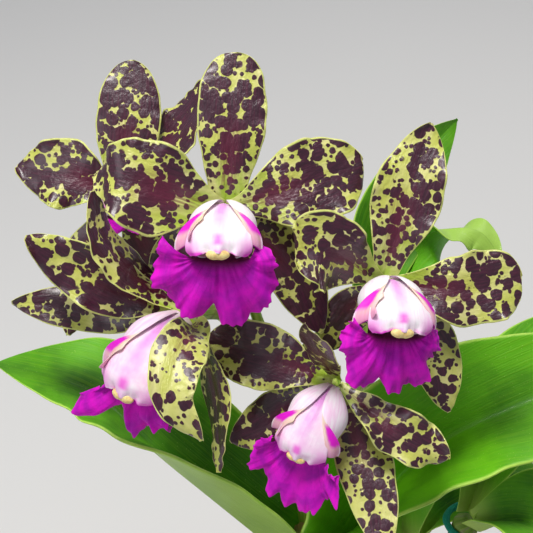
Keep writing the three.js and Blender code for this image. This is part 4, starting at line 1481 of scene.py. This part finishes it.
def column_surface(place):
    route = Route(COLUMN["path"])

    def surface(u, v):
        centre = route.at(u)
        half = COLUMN["width"] / 2 * mix(COLUMN["foot"], 1, smooth(u / 0.85))
        half *= 1 + 0.17 * smooth(u * 4) - 0.07 * smooth((u - 0.75) / 0.25)
        half *= 1 - 0.12 * smooth((u - 0.9) / 0.1)
        scallop = (0.8 * math.cos(v * 9) + 0.35 * math.sin(v * 23)) * smooth((u - 0.8) / 0.2)
        ridge = 0.5 * math.exp(-(v / 0.22) ** 2) * smooth(u * 3) * (1 - u)
        y = centre.y - COLUMN["arch"] * half * v * v * mix(0.6, 1, u) + ridge
        return place(v * half, y, centre.z + scallop - 3.2 * v * v * u), (v * half, u * 34)

    return surface


def add_anther(bm, place):
    cap = bmesh.ops.create_icosphere(bm, subdivisions=3, radius=1.0)["verts"]
    for corner in cap:
        x, y, z = (c * s + p for c, s, p in zip(corner.co, ANTHER["size"], ANTHER["place"]))
        cleft = 0.5 * math.exp(-(x / 0.7) ** 2)
        corner.co = place(x, y + cleft * 0.3, z - cleft)
    for face in {f for corner in cap for f in corner.link_faces}:
        face.smooth = True


def anther_finish():
    finish = Finish("anther cap", Specular_IOR_Level=0.5)
    grain = finish.noise(finish.place(), 900.0, 2.0)
    colour = finish.blend(grain.rise(0.3, 0.7), tint(244, 226, 150), tint(226, 190, 120))
    return finish.feed(Base_Color=colour, Roughness=0.4 + grain * 0.15)


anther_cream = anther_finish()
print("column", COLUMN["width"], "mm wide, anther cap finish:", anther_cream.name)

# %% [markdown]
# ## Side lobes
#
# The two side lobes are one sheet that wraps round the column from below. At the back its
# margins nearly meet above the column. Towards the front the sheet opens, and its
# corners turn out as lapels do. "wrap" is how far it reaches round on each side, in
# degrees, at the back and at the front.

# %% Shape the side lobes
TUBE = {
    "start": 3.0, "length": 24.5, "back": 3.8, "wide": 11, "deep": 8.6, "drop": 2.0,
    "wrap": [175, 92], "fold": 0.75, "lapel": 5, "lapelTurn": 16, "wall": 0.8,
}


def lobe_surface(place):
    back_wrap, front_wrap = TUBE["wrap"]
    fold, lapel = TUBE["fold"], TUBE["lapel"]

    def surface(u, v):
        edge = abs(v)
        opened = math.sin(min(u / 0.5, 1) * math.pi / 2) - 0.22 * smooth((u - 0.5) / 0.5)
        turned = smooth((u - 0.5) / 0.5) * smooth((edge - fold) / (1 - fold))
        reach = mix(back_wrap, front_wrap, u ** 3.5) * min(edge / fold, 1) - TUBE["lapelTurn"] * turned
        angle = math.copysign(math.radians(reach), v)
        frill = (0.5 * math.sin(17 * v + u) + 0.35 * math.sin(31 * v)) * smooth((u - 0.7) / 0.3)
        radius = mix(TUBE["back"], TUBE["wide"], opened) + (lapel + frill) * turned + 0.5 * frill
        height = mix(TUBE["back"], TUBE["deep"], opened) + 0.5 * lapel * turned
        end = mix(TUBE["length"] - 3, TUBE["length"] + 3, smooth(edge * 1.3)) + frill
        y = -TUBE["drop"] * u - height * math.cos(angle)
        point = place(radius * math.sin(angle), y - 2 * turned, mix(TUBE["start"], end, u) - 3 * turned)
        return point, (v * 30, u * 26)

    return surface


print("side lobes", TUBE["length"], "mm long")

# %% [markdown]
# ## Apron
#
# The apron starts as a narrow floor in the throat and spreads into a fan. Its margin has
# large waves, small waves on them, fine teeth and three deeper notches. Each notch is
# given by its place across the fan and by the share of the reach that it takes away.

# %% Shape the apron
APRON = {
    "throat": [0, -7.5, 24.8], "root": [9.5, 1.2], "inner": 78, "spread": 112,
    "wall": 0.7, "ruffle": 1.7, "ruffles": 9.6,
}
NOTCHES = ((-0.08, 0.2), (-0.52, 0.08), (0.46, 0.1))


def apron_surface(place, lip, phase):
    """The throat's floor for u below THROAT_SHARE, and the spreading apron beyond it."""
    throat, root = APRON["throat"], APRON["root"]

    def floor(w, inner):
        x = root[0] * mix(0.7, 1, w) * math.sin(inner)
        return place(x, throat[1] + 0.8 * (1 - w) - root[1] * math.cos(inner), throat[2] - 12 * (1 - w))

    def surface(u, v):
        angle, inner = v * math.radians(APRON["spread"]), v * math.radians(APRON["inner"])
        if u < THROAT_SHARE:
            return floor(u / THROAT_SHARE, inner), (10 * v, 10 * u)
        u = (u - THROAT_SHARE) / (1 - THROAT_SHARE)
        far = along(lip["reach"], (v + 1) / 2) * (1 + 0.05 * math.sin(9 * angle + phase) * u)
        for at, depth in NOTCHES:
            far *= 1 - depth * u * u * math.exp(-((v - at) / 0.05) ** 2)
        tooth = (1 - abs(math.sin(11 * angle + phase))) ** 2 + 0.6 * (1 - abs(math.sin(17.3 * angle))) ** 2
        far += (1.3 * tooth + 0.4 * math.sin(53 * angle + 2 * phase) - 0.5) * u ** 5
        tilt = math.radians(along(lip["lift"], (v + 1) / 2))
        down = -math.cos(angle) * math.cos(tilt)
        out = math.sin(tilt) * mix(1, abs(math.cos(angle)), 0.3)
        x = mix(root[0] * math.sin(inner), far * math.sin(angle), u)
        y = throat[1] + mix(-root[1] * math.cos(inner), far * down, u)
        bulge = 2.4 * math.sin(math.pi * u * 0.9) - 2.6 * u * u
        wave = APRON["ruffle"] * u * u * math.sin(APRON["ruffles"] * angle + phase)
        wave += 0.8 * u ** 4 * math.sin(24 * angle + 2 * phase) + 0.45 * u ** 5 * math.sin(43 * angle)
        crease = -0.9 * math.exp(-(v / 0.05) ** 2) * math.sin(math.pi * min(u * 1.1, 1))
        rib = 0.7 * noise.noise(Vector((angle * 7, u * 1.6, phase))) * math.sin(math.pi * min(u * 1.3, 1))
        z = throat[2] + far * out * u + bulge + wave + crease + rib
        return place(x, y, z), (far * angle * u, 2 + far * u)

    return surface


print("apron spreads", APRON["spread"], "degrees to each side")

# %% [markdown]
# ## Putting the lips together
#
# Each bloom gets four pieces: hood, anther cap, lobes and frill. A phase of its own shifts
# the waves of each apron, so that no two frills match. The blooms that are turned away
# have the pinkest lobes and columns, so each keeps a number for its blush.

# %% Grow the lips
BLUSHES = {"c": 0.75, "d": 0.6, "e": 0.3}

for index, (name, bloom) in enumerate(BLOOMS.items()):
    place, phase = lip_frame(bloom), index * 1.3
    flush = BLUSHES.get(name, 0.0)
    column_mesh = start_mesh()
    add_grid(column_mesh, column_surface(place), 28, 24, patch=index, tone=flush, turn_over=True)
    column = make_piece(f"bloom_{name}_hood", column_mesh, [column_white],
                        [f"bloom_{name}_column"])
    thicken(column, COLUMN["wall"], 1)
    anther_mesh = start_mesh()
    add_anther(anther_mesh, place)
    make_piece(f"bloom_{name}_anther", anther_mesh, [anther_cream], [f"bloom_{name}_column"])
    lobes_mesh = start_mesh()
    add_grid(lobes_mesh, lobe_surface(place), 24, 48, patch=index, tone=flush)
    lobes = make_piece(f"bloom_{name}_lobes", lobes_mesh, [lobe_outside, lobe_inside],
                       [f"bloom_{name}_side_lobes"])
    thicken(lobes, TUBE["wall"], 2)
    apron_mesh = start_mesh()
    add_grid(apron_mesh, apron_surface(place, bloom["lip"], phase), 28, 110, patch=index, turn_over=True)
    apron = make_piece(f"bloom_{name}_frill", apron_mesh, [apron_front, apron_behind],
                       [f"bloom_{name}_apron"])
    thicken(apron, APRON["wall"], 2)
print("lips", len(BLOOMS))

# %% [markdown]
# ## Floor
#
# The plant stands on a plain pale floor, twelve metres across, so that it fills the view
# around the plant. It isn't part of the plant.

# %% Floor
def floor_finish():
    finish = Finish("pale floor", Specular_IOR_Level=0.2)
    haze = finish.noise(finish.place(), 1.5, 2.0)
    colour = finish.blend(haze, tint(222, 221, 218), tint(228, 227, 224))
    return finish.feed(Base_Color=colour, Roughness=0.9)


floor_mesh = bmesh.new()
bmesh.ops.create_grid(floor_mesh, x_segments=8, y_segments=8, size=6.0)
floor_data = bpy.data.meshes.new("floor")
floor_mesh.to_mesh(floor_data)
floor_mesh.free()
floor_data.materials.append(floor_finish())
floor = bpy.data.objects.new("floor", floor_data)
bpy.context.scene.collection.objects.link(floor)
print("floor", tuple(floor.dimensions))

# %% [markdown]
# ## Light
#
# Soft studio light shows the waxy gloss without hard shadows: a lamp high above the
# spray, a weaker, broader one from the left, and one from behind that edges the petals
# with light, all under a pale sky. A large disc gives softer shadows than a small one.

# %% Lamps and sky
def lamp(name, place, aim, size, power, colour):
    data = bpy.data.lights.new(name, "AREA")
    data.shape, data.size, data.energy, data.color = "DISK", size, power, colour
    light = bpy.data.objects.new(name, data)
    light.location = place
    light.rotation_mode = "QUATERNION"
    light.rotation_quaternion = (Vector(aim) - Vector(place)).to_track_quat("-Z", "Y")
    bpy.context.scene.collection.objects.link(light)


middle = in_spray((0, 0, 0)) * MILLIMETRE
lamp("high lamp", (-0.2, -0.1, 1.5), middle, 0.4, 13, (1.0, 0.98, 0.95))
lamp("left lamp", (-1.1, -0.9, 0.9), middle, 0.8, 4, (0.97, 0.98, 1.0))
lamp("back lamp", (0.7, 1.0, 1.2), middle, 0.6, 5, (1.0, 0.97, 0.94))

world = bpy.data.worlds.new("pale sky")
world.use_nodes = True
world.node_tree.nodes["Background"].inputs["Color"].default_value = (0.86, 0.9, 1.0, 1)
world.node_tree.nodes["Background"].inputs["Strength"].default_value = 0.32
bpy.context.scene.world = world
bpy.context.scene.view_settings.view_transform = "Standard"
print("lamps", len(bpy.data.lights))

# %% [markdown]
# ## Camera
#
# The camera looks straight into the spray from 38 degrees above the horizon, so it stands
# on the third axis of the spray's frame and leans as the spray does. Its focal length is
# known in pixels of the picture's frame, and is turned into millimetres for its sensor.

# %% Camera
DISTANCE = 420
FOCAL_PIXELS, FRAME_PIXELS = 1217, 533
camera_data = bpy.data.cameras.new("camera")
camera_data.sensor_width = 36
camera_data.lens = camera_data.sensor_width * FOCAL_PIXELS / FRAME_PIXELS
camera_data.clip_start, camera_data.clip_end = 0.01, 50
camera = bpy.data.objects.new("camera", camera_data)
bpy.context.scene.collection.objects.link(camera)
camera.location = in_spray((0, 0, DISTANCE)) * MILLIMETRE
camera.rotation_euler = (math.radians(SPRAY["lean"]), 0, 0)
bpy.context.scene.camera = camera
print("camera at", tuple(camera.location))

# %% [markdown]
